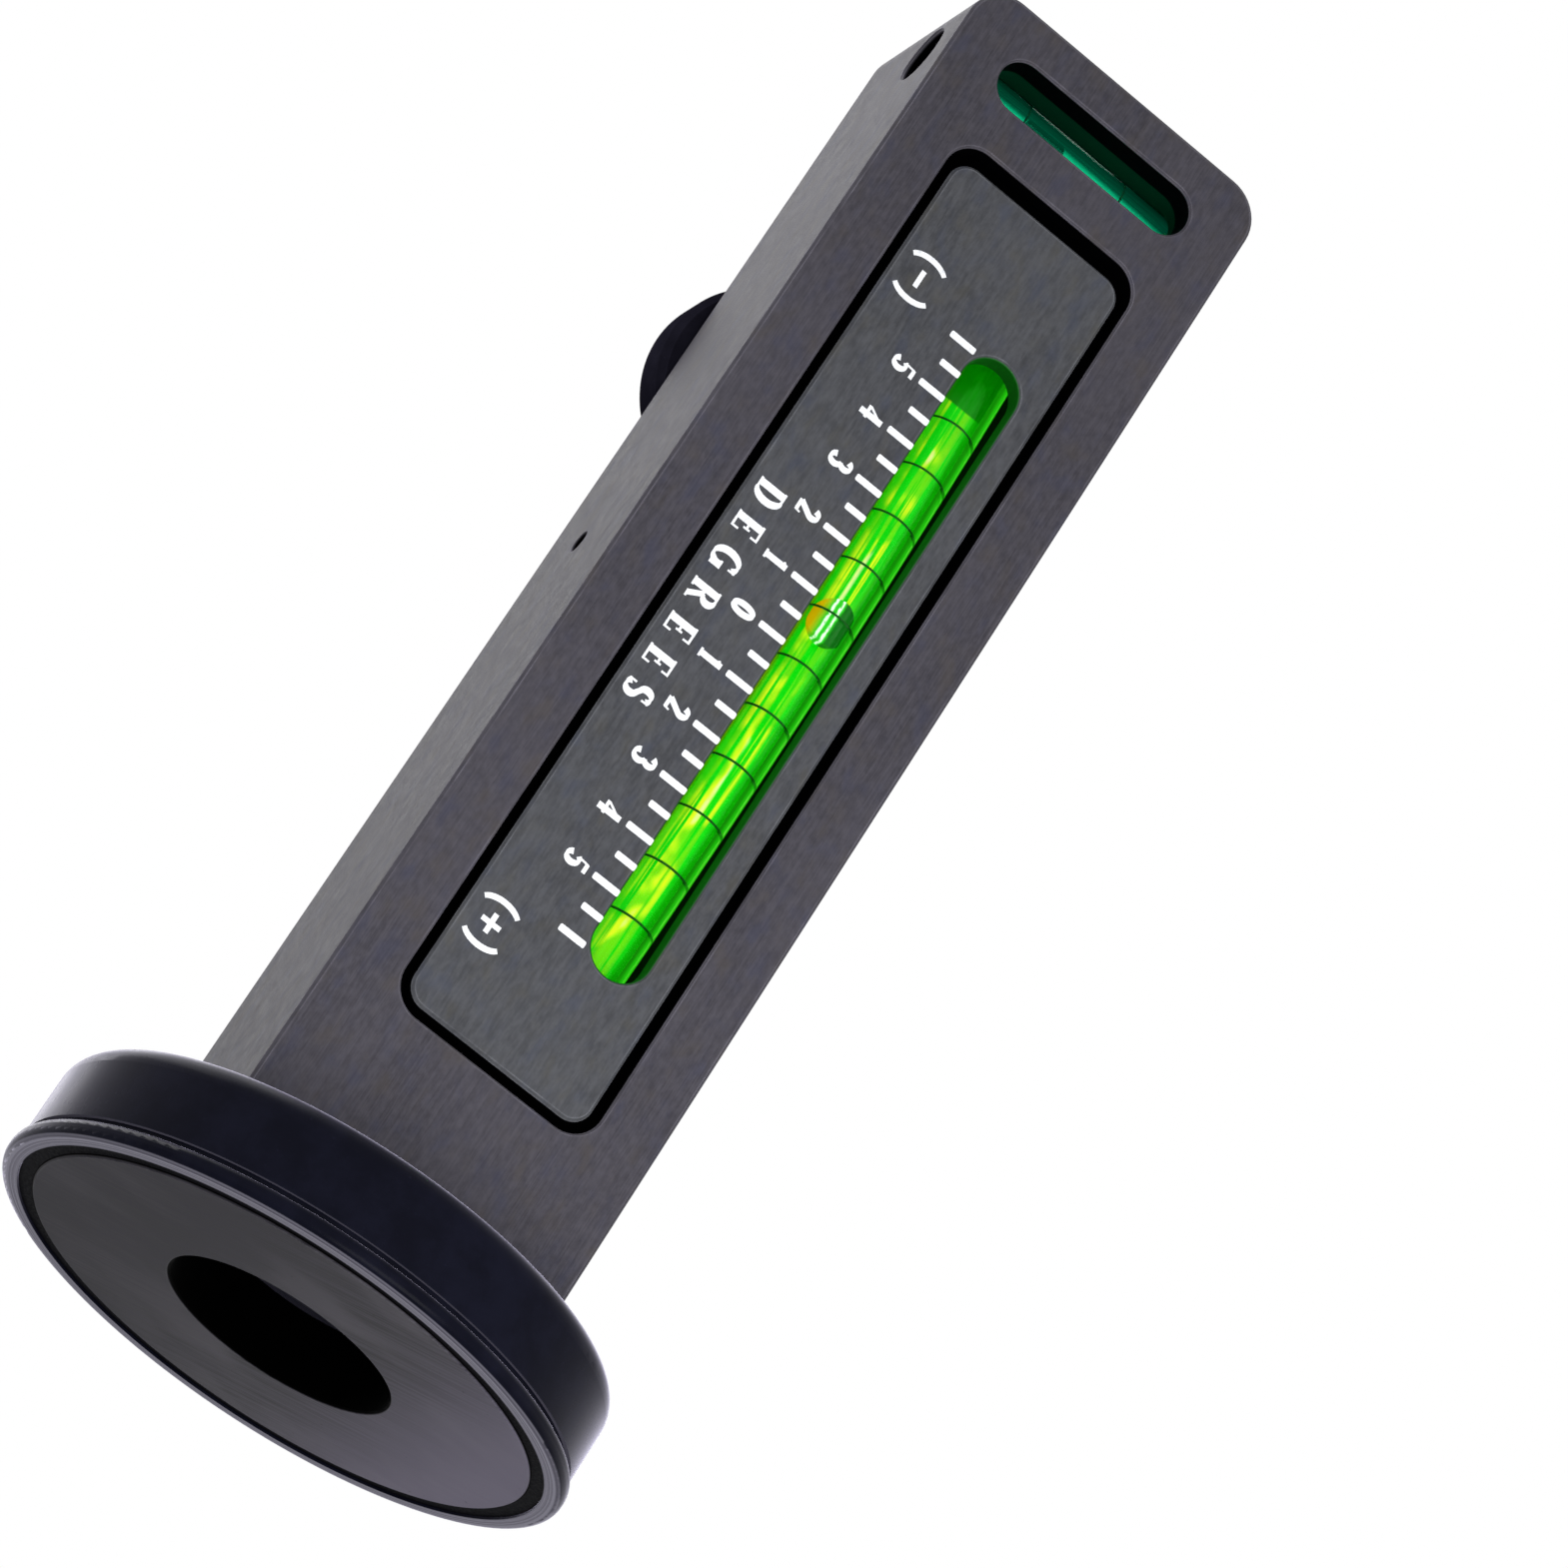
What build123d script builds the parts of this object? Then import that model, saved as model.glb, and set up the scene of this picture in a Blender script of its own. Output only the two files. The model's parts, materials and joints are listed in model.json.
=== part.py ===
from build123d import *
import os
from math import cos, degrees, pi, radians, sin, sqrt

# Camber gauge: a bar on a round magnet foot, with bubble vials that read wheel angles.
# Millimetres. The origin is the centre of the magnet face, +Z runs up the bar,
# the camber dial faces -Y and the caster dial, with its zeroing thumb screw, faces +Y.

# Bar
body_width = 42.4
bar_root = 20.2
bar_head = 18.3
top_corner_radius = 5.0
edge_chamfer = 0.4
mouth_chamfer = 0.25
cavity_web = 1.85

# Fits: loose pieces in one body, screws in their holes, running pieces, and a cut's overrun
seat_clearance = 0.03
screw_clearance = 0.1
running_clearance = 0.05
overrun = 1.0

# Magnet foot
cup_radius = 34.3
cup_wall = 1.1
cup_height = 11.5
cup_plate = 3.2
cup_corner = 2.5
lip_flare = 1.2
lip_height = 2.2
lip_round = 0.9
magnet_bore_radius = 13.9
magnet_chamfer = 0.3
filler_width = 1.75
filler_recess = 0.3
cap_wall = 0.5
cap_skirt = 10.3
cap_top = 1.7
cap_round = 3.0

# Screws that hold the foot, put in through the magnet's bore
foot_screw_radius = 2.5
foot_screw_head = 4.8
foot_screw_reach = 9.1
foot_screw_edge = 0.9
foot_socket_radius = 1.9
foot_socket_depth = 1.6
foot_tap_room = 1.5

# Pockets for the two dials, alike on the front and the back
pocket_side_wall = 7.5
pocket_corner = 4.0
dial_recess = 0.3
dial_side_gap = 1.3
dial_low_gap = 1.4
dial_high_gap = 2.3
dial_chamfer = 0.35
camber_plate_thickness = 2.8

# Scales and their vials: each window shows its scale, and the vial dips below the window's ends
degree_pitch = 7.23
scale_margin = 1.22
window_gap = 0.05
window_dip = 0.3
vial_channel_gap = 0.3
vial_bed_depth = 0.6
vial_bed_top = 1.0
plug_length = 2.0
bubble_clearance = 0.1
bubble_chord_share = 0.45
camber_degrees = 6
camber_edge = 7.05
camber_tube_radius = 3.7
camber_tube_wall = 1.0
camber_bubble_half_length = 2.9
camber_bubble_rise = 6.5
camber_bubble_room = 2.62
camber_end_room = 12.25
zero_below_mid = 1.05

# Caster cradle, its vial and the cross pin that it rocks on
caster_degrees = 5
caster_edge = 4.6
caster_tube_radius = 3.3
caster_tube_wall = 0.9
caster_bubble_half_length = 2.9
caster_bubble_room = 1.82
caster_window_lip = 2.2
caster_bed_cover = 0.4
cradle_end_gap = 1.8
cradle_rise = 1.9
pin_radius = 1.25
pin_rise = 1.3
pin_below_mid = 0.25
pin_recess = 2.2
hub_wall = 1.15
hub_relief = 0.4
hub_end_gap = 0.15

# Thumb screw that zeroes the caster dial, with its washer and return spring
knob_edge = 2.6
knob_lever = 35.3
knob_radius = 13.5
knob_thickness = 6.4
knob_gap = 1.85
knob_chamfer = 0.9
knob_dish_radius = 8.5
knob_dish_depth = 0.7
knob_web = 1.6
stem_radius = 2.0
stem_reach = 6.2
stem_hole_room = 2.0
stem_slot_gap = 0.7
washer_bore_gap = 0.2
washer_side_gap = 0.3
washer_thickness = 0.8
washer_gap = 0.15
washer_edge = 0.1
spring_wire = 0.6
spring_radius = 3.0
spring_slot_gap = 0.6
spring_seat_depth = 5.4
spring_turns = 4
wire_flats = 6

# Screws behind the camber plate
plate_screw_radius = 1.5
plate_screw_head = 2.9
plate_screw_reach = 1.5
plate_screw_side = 5.4
plate_screw_inset = 6.0
plate_socket_radius = 1.1
plate_socket_depth = 0.9
plate_tap_room = 0.3

# Cross level at the top
level_below_top = 8.8
level_depth = 8.95
level_slot_width = 6.5
level_slot_cover = 2.45
level_hole_gap = 0.2
level_hole_room = 0.8
level_end_room = 4.6
level_plug_recess = 1.4
level_plug_gap = 0.1
level_tube_radius = 3.5
level_tube_wall = 0.9
level_bow_room = 0.2
level_degree_pitch = 3.5
level_bubble_half_length = 2.9
level_bubble_x = -4.2


def crown_radius(pitch):
    """The radius of a vial on which one degree takes up the given length."""
    return pitch / radians(1)


def drop(pitch, length):
    """How far a vial's crown dips at a length from its middle."""
    return crown_radius(pitch) * (1 - cos(length / crown_radius(pitch)))


# Lengths up the bar
foot_height = cup_height + cap_top
camber_window_half = camber_degrees * degree_pitch + scale_margin
camber_tube_half = (
    camber_degrees * degree_pitch + camber_bubble_half_length + camber_bubble_room + plug_length
)
caster_window_half = caster_degrees * degree_pitch + scale_margin
caster_tube_half = (
    caster_degrees * degree_pitch + caster_bubble_half_length + caster_bubble_room + plug_length
)
pocket_low = foot_height + bar_root
pocket_length = 2 * (camber_tube_half + camber_end_room)
pocket_high = pocket_low + pocket_length
pocket_mid = (pocket_low + pocket_high) / 2
overall_height = pocket_high + bar_head
dial_low = pocket_low + dial_low_gap
dial_high = pocket_high - dial_high_gap
cradle_length = pocket_length - 2 * cradle_end_gap
zero_height = pocket_mid - zero_below_mid
pin_height = pocket_mid - pin_below_mid
knob_height = pin_height + knob_lever
level_height = overall_height - level_below_top

# Layers through the bar, from the camber face to the caster face
camber_sink = camber_plate_thickness + window_dip - drop(degree_pitch, camber_window_half)
caster_sink = caster_window_lip + window_dip - drop(degree_pitch, caster_window_half)
channel_half = camber_tube_half + vial_channel_gap
channel_depth = (
    camber_sink + 2 * camber_tube_radius + drop(degree_pitch, channel_half) + vial_bed_depth
)
cradle_thickness = (
    caster_sink + 2 * caster_tube_radius + drop(degree_pitch, caster_tube_half)
    + vial_bed_depth + caster_bed_cover
)
cavity_depth = dial_recess + cradle_thickness + cradle_rise
body_depth = dial_recess + channel_depth + cavity_web + cavity_depth
front_y = -body_depth / 2
back_y = body_depth / 2
camber_face_y = front_y + dial_recess
camber_floor_y = camber_face_y + camber_plate_thickness
level_y = front_y + level_depth
cavity_floor_y = back_y - cavity_depth
pin_y = cavity_floor_y + pin_rise
cradle_face_y = back_y - dial_recess
cradle_under_y = cradle_face_y - cradle_thickness
spring_seat_y = cradle_under_y + spring_seat_depth
washer_under_y = cradle_face_y + washer_gap
washer_top_y = washer_under_y + washer_thickness
knob_under_y = back_y + knob_gap
knob_top_y = knob_under_y + knob_thickness
stem_tip_y = cavity_floor_y - stem_reach
stem_head_y = knob_top_y - knob_dish_depth - knob_web

# Widths across the bar
left_x = -body_width / 2
pocket_width = body_width - 2 * pocket_side_wall
dial_width = pocket_width - 2 * dial_side_gap
dial_corner = pocket_corner - dial_side_gap
camber_x = dial_width / 2 - camber_edge
caster_x = dial_width / 2 - caster_edge
knob_x = -dial_width / 2 + knob_edge
washer_radius = knob_edge + dial_side_gap - washer_side_gap
plate_screw_x = dial_width / 2 - plate_screw_side
hub_radius = pin_radius + hub_wall
hub_half_length = pocket_width / 2 - hub_end_gap
level_tube_half = body_width / 2 - level_end_room
level_hole_radius = level_tube_radius + level_hole_gap
level_bore_radius = level_tube_radius - level_tube_wall - level_bow_room

# Radii of the foot
cup_inner_radius = cup_radius - cup_wall
magnet_radius = cup_inner_radius - filler_width
magnet_height = cup_height - cup_plate
cap_radius = cup_radius + cap_wall
cap_edge_height = foot_height - cap_skirt
foot_screw_x = magnet_bore_radius - foot_screw_head - foot_screw_edge
corner = (Align.MIN, Align.MIN)


def at_y(y):
    """A plane across the gauge at one depth: local x is X, local y is Z, and it faces -Y."""
    return Plane.XZ.offset(-y)


def at_x(x):
    """A plane along the gauge: local x is Y, local y is Z, and it faces +X."""
    return Plane.YZ.offset(x)


class Vial:
    """The arc that a vial's bore follows, so that its bubble rides along the crown."""

    def __init__(self, crown, outward, along, pitch, bore_radius, half_length):
        self.outward = Vector(outward)
        self.along = Vector(along)
        self.across = self.outward.cross(self.along)
        self.crown_radius = crown_radius(pitch)
        self.bore_radius = bore_radius
        self.half_length = half_length
        self.fluid_half_length = half_length - plug_length
        self.centre = Vector(crown) - self.outward * self.crown_radius
        self.axis = Axis(self.centre, self.across)
        self.chord = bore_radius * bubble_chord_share

    def turn(self, length):
        """The angle, in degrees, of a length along the crown."""
        return degrees(length / self.crown_radius)

    def section(self, length):
        """The plane across the bore at a length along it, with local y pointing outward."""
        angle = radians(self.turn(length))
        radial = self.outward * cos(angle) + self.along * sin(angle)
        tangent = self.along * cos(angle) - self.outward * sin(angle)
        origin = self.centre + radial * (self.crown_radius - self.bore_radius)
        return Plane(origin=origin, x_dir=self.across, z_dir=tangent)


camber = Vial(
    crown=(camber_x, camber_face_y + camber_sink + camber_tube_wall, zero_height),
    outward=(0, -1, 0),
    along=(0, 0, 1),
    pitch=degree_pitch,
    bore_radius=camber_tube_radius - camber_tube_wall,
    half_length=camber_tube_half,
)
caster = Vial(
    crown=(caster_x, cradle_face_y - caster_sink - caster_tube_wall, pin_height),
    outward=(0, 1, 0),
    along=(0, 0, 1),
    pitch=degree_pitch,
    bore_radius=caster_tube_radius - caster_tube_wall,
    half_length=caster_tube_half,
)
level = Vial(
    crown=(0, level_y - level_tube_radius + level_tube_wall, level_height),
    outward=(0, -1, 0),
    along=(1, 0, 0),
    pitch=level_degree_pitch,
    bore_radius=level_bore_radius,
    half_length=level_tube_half,
)


def bent_tube(vial, tube_radius):
    """A vial tube bent to the arc of its bore."""
    with BuildPart() as tube:
        with BuildSketch(vial.section(-vial.half_length)):
            Circle(tube_radius)
            Circle(vial.bore_radius, mode=Mode.SUBTRACT)
        revolve(axis=vial.axis, revolution_arc=2 * vial.turn(vial.half_length))
    return tube


def vial_plugs(vial):
    """The two plugs that seal the ends of a vial's bore."""
    with BuildPart() as plugs:
        for start in (-vial.half_length, vial.fluid_half_length):
            with BuildSketch(vial.section(start)):
                Circle(vial.bore_radius - seat_clearance)
            revolve(axis=vial.axis, revolution_arc=vial.turn(plug_length))
    return plugs


def vial_fluid(vial):
    """The fluid between the plugs, level along the crown, where the bubble has its track."""
    radius = vial.bore_radius - seat_clearance
    half_length = vial.fluid_half_length - seat_clearance
    with BuildPart() as fluid:
        with BuildSketch(vial.section(-half_length)):
            Circle(radius)
            with Locations((0, vial.chord - bubble_clearance)):
                Rectangle(2 * radius, radius, align=(Align.CENTER, Align.MIN), mode=Mode.SUBTRACT)
        revolve(axis=vial.axis, revolution_arc=2 * vial.turn(half_length))
    return fluid


def vial_bubble(vial, half_length, offset=0):
    """The bubble: a slice of the bore's crown, with round ends when seen from outside."""
    radius = vial.bore_radius - bubble_clearance
    width = 2 * sqrt(radius ** 2 - vial.chord ** 2)
    middle = vial.section(offset)
    seen_from_outside = Plane(origin=middle.origin, x_dir=middle.z_dir, z_dir=middle.y_dir)
    with BuildPart() as bubble:
        with BuildSketch(vial.section(offset - half_length)):
            Circle(radius)
            with Locations((0, vial.chord)):
                Rectangle(2 * radius, 2 * radius, align=(Align.CENTER, Align.MAX), mode=Mode.SUBTRACT)
        revolve(axis=vial.axis, revolution_arc=2 * vial.turn(half_length))
        with BuildSketch(seen_from_outside):
            SlotOverall(2 * half_length, width)
        extrude(amount=radius + overrun, mode=Mode.INTERSECT)
    return bubble


def vial_bed(vial, tube_radius):
    """The setting compound under a bent tube, from one wall of its channel to the other."""
    width = 2 * (tube_radius + vial_channel_gap - seat_clearance)
    depth = tube_radius + vial_bed_depth - vial_bed_top
    with BuildPart() as bed:
        with BuildSketch(vial.section(-vial.half_length)):
            with Locations((0, -vial_bed_top)):
                Rectangle(width, depth, align=(Align.CENTER, Align.MAX))
            Circle(tube_radius + seat_clearance, mode=Mode.SUBTRACT)
        revolve(axis=vial.axis, revolution_arc=2 * vial.turn(vial.half_length))
    return bed


def countersunk_screws(seat, places, radius, head_radius, length, socket_radius=0, socket_depth=0):
    """Screws whose heads lie flush with the seat plane and whose shanks run along its normal.
    Without a socket the same shape serves as the cutter for their holes."""
    with BuildPart() as screws:
        with BuildSketch(seat):
            with Locations(*places):
                Circle(head_radius)
        extrude(amount=head_radius - radius, taper=45)
        with BuildSketch(seat):
            with Locations(*places):
                Circle(radius)
        extrude(amount=length)
        if socket_radius:
            with BuildSketch(seat):
                with Locations(*places):
                    RegularPolygon(socket_radius, side_count=6)
            extrude(amount=socket_depth, mode=Mode.SUBTRACT)
    return screws


# Screws of the foot: from under the cup's plate, through the cap, into the bar
foot_seat = Plane.XY.offset(magnet_height)
foot_screw_places = [(-foot_screw_x, 0), (foot_screw_x, 0)]
foot_screw_length = cup_plate + cap_top + foot_screw_reach
base_screws = countersunk_screws(
    foot_seat, foot_screw_places, foot_screw_radius, foot_screw_head,
    foot_screw_length, foot_socket_radius, foot_socket_depth,
)
foot_screw_holes = countersunk_screws(
    foot_seat, foot_screw_places, foot_screw_radius + screw_clearance,
    foot_screw_head + screw_clearance, foot_screw_length + foot_tap_room,
)

# Screws of the camber plate: from the floor of the back cavity, through the bar, into the plate
plate_seat = at_y(cavity_floor_y)
plate_screw_places = [
    (x, z)
    for x in (-plate_screw_x, plate_screw_x)
    for z in (dial_low + plate_screw_inset, dial_high - plate_screw_inset)
]
plate_screw_length = cavity_floor_y - camber_floor_y + plate_screw_reach
camber_plate_screws = countersunk_screws(
    plate_seat, plate_screw_places, plate_screw_radius, plate_screw_head,
    plate_screw_length, plate_socket_radius, plate_socket_depth,
)
plate_screw_holes = countersunk_screws(
    plate_seat, plate_screw_places, plate_screw_radius + screw_clearance,
    plate_screw_head + screw_clearance, plate_screw_length + plate_tap_room,
)

# Bar: a milled block with a pocket in front, a cavity behind and a cross hole for the level
with BuildPart() as body_block:
    with BuildSketch(at_y(back_y)) as bar_outline:
        with Locations((0, foot_height)):
            Rectangle(body_width, overall_height - foot_height, align=(Align.CENTER, Align.MIN))
        fillet(bar_outline.vertices().group_by(Axis.Y)[-1], top_corner_radius)
    extrude(amount=body_depth)
    rims = body_block.faces().filter_by(Axis.Y).edges()
    chamfer(rims - body_block.faces().sort_by(Axis.Z)[0].edges(), edge_chamfer)

    # front pocket for the camber plate, and back cavity for the caster cradle
    with BuildSketch(at_y(camber_floor_y)):
        with Locations((0, pocket_mid)):
            RectangleRounded(pocket_width, pocket_length, pocket_corner)
    extrude(amount=camber_floor_y - front_y + overrun, mode=Mode.SUBTRACT)
    with BuildSketch(at_y(cavity_floor_y)):
        with Locations((0, pocket_mid)):
            RectangleRounded(pocket_width, pocket_length, pocket_corner)
    extrude(amount=-(cavity_depth + overrun), mode=Mode.SUBTRACT)

    # window and cross hole of the level, and the cross pin's hole
    with BuildSketch(at_y(level_y)):
        with Locations((0, level_height)):
            SlotOverall(2 * (level_tube_half - level_slot_cover), level_slot_width)
    extrude(amount=level_y - front_y + overrun, mode=Mode.SUBTRACT)
    with BuildSketch(at_x(left_x)):
        with Locations((level_y, level_height)):
            Circle(level_hole_radius)
    extrude(amount=level_tube_half + level_hole_room - left_x, mode=Mode.SUBTRACT)
    with BuildSketch(at_x(left_x)):
        with Locations((pin_y, pin_height)):
            Circle(pin_radius + seat_clearance)
    extrude(amount=body_width - pin_recess + seat_clearance, mode=Mode.SUBTRACT)
    for face in (
        body_block.faces().sort_by(Axis.Y)[0],
        body_block.faces().sort_by(Axis.Y)[-1],
        body_block.faces().sort_by(Axis.X)[0],
    ):
        chamfer(face.inner_wires().edges(), mouth_chamfer)

    # relief for the cradle's hub
    with BuildSketch(at_x(-pocket_width / 2)):
        with Locations((pin_y, pin_height)):
            Circle(hub_radius + hub_relief)
    extrude(amount=pocket_width, mode=Mode.SUBTRACT)

    # channel under the camber plate, its floor on the same arc as the vial
    channel_width = 2 * (camber_tube_radius + vial_channel_gap)
    channel_floor = camber_tube_radius + vial_bed_depth + seat_clearance
    with BuildSketch(camber.section(-channel_half)):
        with Locations((0, -channel_floor)):
            Rectangle(channel_width, body_depth / 2, align=(Align.CENTER, Align.MIN))
    revolve(axis=camber.axis, revolution_arc=2 * camber.turn(channel_half), mode=Mode.SUBTRACT)

    # threaded hole of the thumb screw, and holes of the other screws
    with BuildSketch(at_y(cavity_floor_y)):
        with Locations((knob_x, knob_height)):
            Circle(stem_radius + running_clearance)
    extrude(amount=stem_reach + stem_hole_room, mode=Mode.SUBTRACT)
    add(plate_screw_holes.part, mode=Mode.SUBTRACT)
    add(foot_screw_holes.part, mode=Mode.SUBTRACT)

# Camber plate, let into the front pocket, with the long window of its vial
with BuildPart() as camber_plate:
    with BuildSketch(at_y(camber_floor_y)):
        with Locations((0, (dial_low + dial_high) / 2)):
            RectangleRounded(dial_width, dial_high - dial_low, dial_corner)
        with Locations((camber_x, zero_height)):
            SlotOverall(
                2 * camber_window_half, 2 * (camber_tube_radius + window_gap),
                rotation=90, mode=Mode.SUBTRACT,
            )
    extrude(amount=camber_plate_thickness)
    chamfer(camber_plate.faces().sort_by(Axis.Y)[0].edges(), dial_chamfer)
    add(plate_screw_holes.part, mode=Mode.SUBTRACT)

# Camber vial in its channel
camber_vial_tube = bent_tube(camber, camber_tube_radius)
camber_vial_plugs = vial_plugs(camber)
camber_vial_fluid = vial_fluid(camber)
camber_bubble = vial_bubble(camber, camber_bubble_half_length, camber_bubble_rise)
camber_vial_bed = vial_bed(camber, camber_tube_radius)

# Caster cradle: a bar that rocks on the cross pin, with the vial let in from beneath
with BuildPart() as caster_cradle:
    with BuildSketch(at_y(cradle_face_y)):
        with Locations((0, pocket_mid)):
            RectangleRounded(dial_width, cradle_length, dial_corner)
    extrude(amount=cradle_thickness)
    chamfer(caster_cradle.faces().sort_by(Axis.Y)[-1].edges(), dial_chamfer)
    with BuildSketch(at_x(-hub_half_length)):
        with Locations((pin_y, pin_height)):
            Circle(hub_radius)
    extrude(amount=2 * hub_half_length)
    with BuildSketch(at_x(-hub_half_length)):
        with Locations((pin_y, pin_height)):
            Circle(pin_radius + running_clearance)
    extrude(amount=2 * hub_half_length, mode=Mode.SUBTRACT)

    # window in the face, and the vial's channel beneath it
    with BuildSketch(at_y(cradle_face_y)):
        with Locations((caster_x, pin_height)):
            SlotOverall(
                2 * caster_window_half, 2 * (caster_tube_radius + window_gap), rotation=90
            )
    extrude(amount=caster_window_lip, mode=Mode.SUBTRACT)
    with BuildSketch(at_y(cradle_face_y - caster_window_lip)):
        with Locations((caster_x, pin_height)):
            Rectangle(
                2 * (caster_tube_radius + vial_channel_gap),
                2 * (caster_tube_half + vial_channel_gap),
            )
    extrude(amount=body_depth / 2, mode=Mode.SUBTRACT)

    # open slot that passes the stem, wider beneath for the spring
    for start_y, half_width in (
        (cradle_face_y + overrun, stem_radius + stem_slot_gap),
        (spring_seat_y, spring_radius + spring_wire / 2 + spring_slot_gap),
    ):
        with BuildSketch(at_y(start_y)):
            with Locations((knob_x, knob_height)):
                Circle(half_width)
                Rectangle(body_width / 2, 2 * half_width, align=(Align.MAX, Align.CENTER))
        extrude(amount=body_depth / 2, mode=Mode.SUBTRACT)

# Caster vial in its cradle
caster_vial_tube = bent_tube(caster, caster_tube_radius)
caster_vial_plugs = vial_plugs(caster)
caster_vial_fluid = vial_fluid(caster)
caster_bubble = vial_bubble(caster, caster_bubble_half_length)
caster_vial_bed = vial_bed(caster, caster_tube_radius)

# Cross pin, held in the bar
with BuildPart() as cradle_pin:
    with BuildSketch(at_x(left_x + pin_recess)):
        with Locations((pin_y, pin_height)):
            Circle(pin_radius)
    extrude(amount=body_width - 2 * pin_recess)

# Cross level: a straight tube with a curved bore, behind the window near the top
with BuildPart() as level_vial_tube:
    with BuildSketch(at_x(-level_tube_half)):
        with Locations((level_y, level_height)):
            Circle(level_tube_radius)
    extrude(amount=2 * level_tube_half)
    bore_half_length = level_tube_half + overrun
    with BuildSketch(level.section(-bore_half_length)):
        Circle(level_bore_radius)
    revolve(axis=level.axis, revolution_arc=2 * level.turn(bore_half_length), mode=Mode.SUBTRACT)
level_vial_plugs = vial_plugs(level)
level_vial_fluid = vial_fluid(level)
level_bubble = vial_bubble(level, level_bubble_half_length, level_bubble_x)

# Plug that closes the cross hole of the level
with BuildPart() as level_bore_plug:
    with BuildSketch(at_x(left_x + level_plug_recess)):
        with Locations((level_y, level_height)):
            Circle(level_hole_radius - seat_clearance)
    extrude(amount=level_end_room - level_plug_recess - level_plug_gap)

# Thumb screw: a disc knob on a threaded stem, turned about its own axis
knob_plane = Plane(origin=(knob_x, 0, knob_height))
knob_axis = Axis((knob_x, 0, knob_height), (0, 1, 0))
step_y = washer_top_y + running_clearance
with BuildPart() as thumbscrew_knob:
    with BuildSketch(knob_plane) as knob_profile:
        with Locations((0, knob_under_y)):
            Rectangle(knob_radius, knob_thickness, align=corner)
        chamfer(knob_profile.vertices().group_by(Axis.X)[-1], knob_chamfer)
        with Locations((0, knob_top_y)):
            Rectangle(
                knob_dish_radius, knob_dish_depth, align=(Align.MIN, Align.MAX), mode=Mode.SUBTRACT
            )
        with Locations((0, step_y)):
            Rectangle(washer_radius - washer_edge, knob_under_y - step_y, align=corner)
            Rectangle(
                stem_radius + seat_clearance, stem_head_y - step_y, align=corner, mode=Mode.SUBTRACT
            )
    revolve(axis=knob_axis)

with BuildPart() as thumbscrew_stem:
    with BuildSketch(knob_plane):
        with Locations((0, stem_tip_y)):
            Rectangle(stem_radius, stem_head_y - seat_clearance - stem_tip_y, align=corner)
    revolve(axis=knob_axis)

with BuildPart() as thumb_washer:
    with BuildSketch(at_y(washer_under_y)):
        with Locations((knob_x, knob_height)):
            Circle(washer_radius)
            Circle(stem_radius + washer_bore_gap, mode=Mode.SUBTRACT)
    extrude(amount=-washer_thickness)

# Return spring round the stem, from the cavity's floor to its seat in the cradle
spring_start_y = cavity_floor_y + spring_wire / 2 + seat_clearance
spring_end_y = spring_seat_y - spring_wire / 2 - screw_clearance
spring_pitch = (spring_end_y - spring_start_y) / spring_turns


def spring_point(turns):
    """A point on the spring's helix, counted in turns from its foot."""
    angle = 2 * pi * turns
    return Vector(
        knob_x + spring_radius * cos(angle),
        spring_start_y + spring_pitch * turns,
        knob_height + spring_radius * sin(angle),
    )


def spring_direction(turns):
    """The direction of the spring's helix at the same point."""
    angle = 2 * pi * turns
    return Vector(
        -2 * pi * spring_radius * sin(angle), spring_pitch, 2 * pi * spring_radius * cos(angle)
    ).normalized()


def biarc_reach(start, start_direction, end, end_direction):
    """How far along both end directions two equal tangent arcs have their corners."""
    span = end - start
    turned = start_direction + end_direction
    a = 4 - turned.dot(turned)
    b = 2 * span.dot(turned)
    return (-b + sqrt(b ** 2 + 4 * a * span.dot(span))) / (2 * a)


with BuildPart() as cradle_spring:
    with BuildLine() as coil:
        for half_turn in range(2 * spring_turns):
            begin = half_turn / 2
            end = begin + 1 / 2
            reach = biarc_reach(
                spring_point(begin), spring_direction(begin), spring_point(end), spring_direction(end)
            )
            first_corner = spring_point(begin) + spring_direction(begin) * reach
            last_corner = spring_point(end) - spring_direction(end) * reach
            joint = (first_corner + last_corner) / 2
            TangentArc(spring_point(begin), joint, tangent=spring_direction(begin))
            TangentArc(joint, spring_point(end), tangent=last_corner - first_corner)
    with BuildSketch(Plane(origin=spring_point(0), z_dir=spring_direction(0))):
        RegularPolygon(spring_wire / 2, side_count=wire_flats)
    sweep(path=coil.wire())

samples_per_turn = 40
spring_samples = [
    spring_point(step / samples_per_turn) for step in range(samples_per_turn * spring_turns + 1)
]
spring_gap = min(
    (a - b).length
    for i, a in enumerate(spring_samples)
    for b in spring_samples[i + samples_per_turn // 2:]
) - spring_wire
print(f"least gap between the spring's turns: {spring_gap:.2f} mm")

# Magnet foot: a steel cup with a turned lip, the ring magnet, the filler ring and a cap
with BuildPart() as magnet_cup:
    with BuildSketch(Plane.XZ) as cup_profile:
        Rectangle(cup_radius, cup_height, align=corner)
        fillet(cup_profile.vertices().sort_by(Axis.X)[-2:].sort_by(Axis.Y)[-1], cup_corner)
        Rectangle(cup_radius + lip_flare, lip_height, align=corner)
        fillet(cup_profile.vertices().group_by(Axis.X)[-1], lip_round)
        Rectangle(cup_inner_radius, magnet_height, align=corner, mode=Mode.SUBTRACT)
    revolve(axis=Axis.Z)
    add(foot_screw_holes.part, mode=Mode.SUBTRACT)

with BuildPart() as ring_magnet:
    with BuildSketch(Plane.XZ) as magnet_profile:
        with Locations((magnet_bore_radius, 0)):
            Rectangle(magnet_radius - magnet_bore_radius, magnet_height, align=corner)
        chamfer(magnet_profile.vertices().group_by(Axis.Y)[0], magnet_chamfer)
    revolve(axis=Axis.Z)

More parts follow.
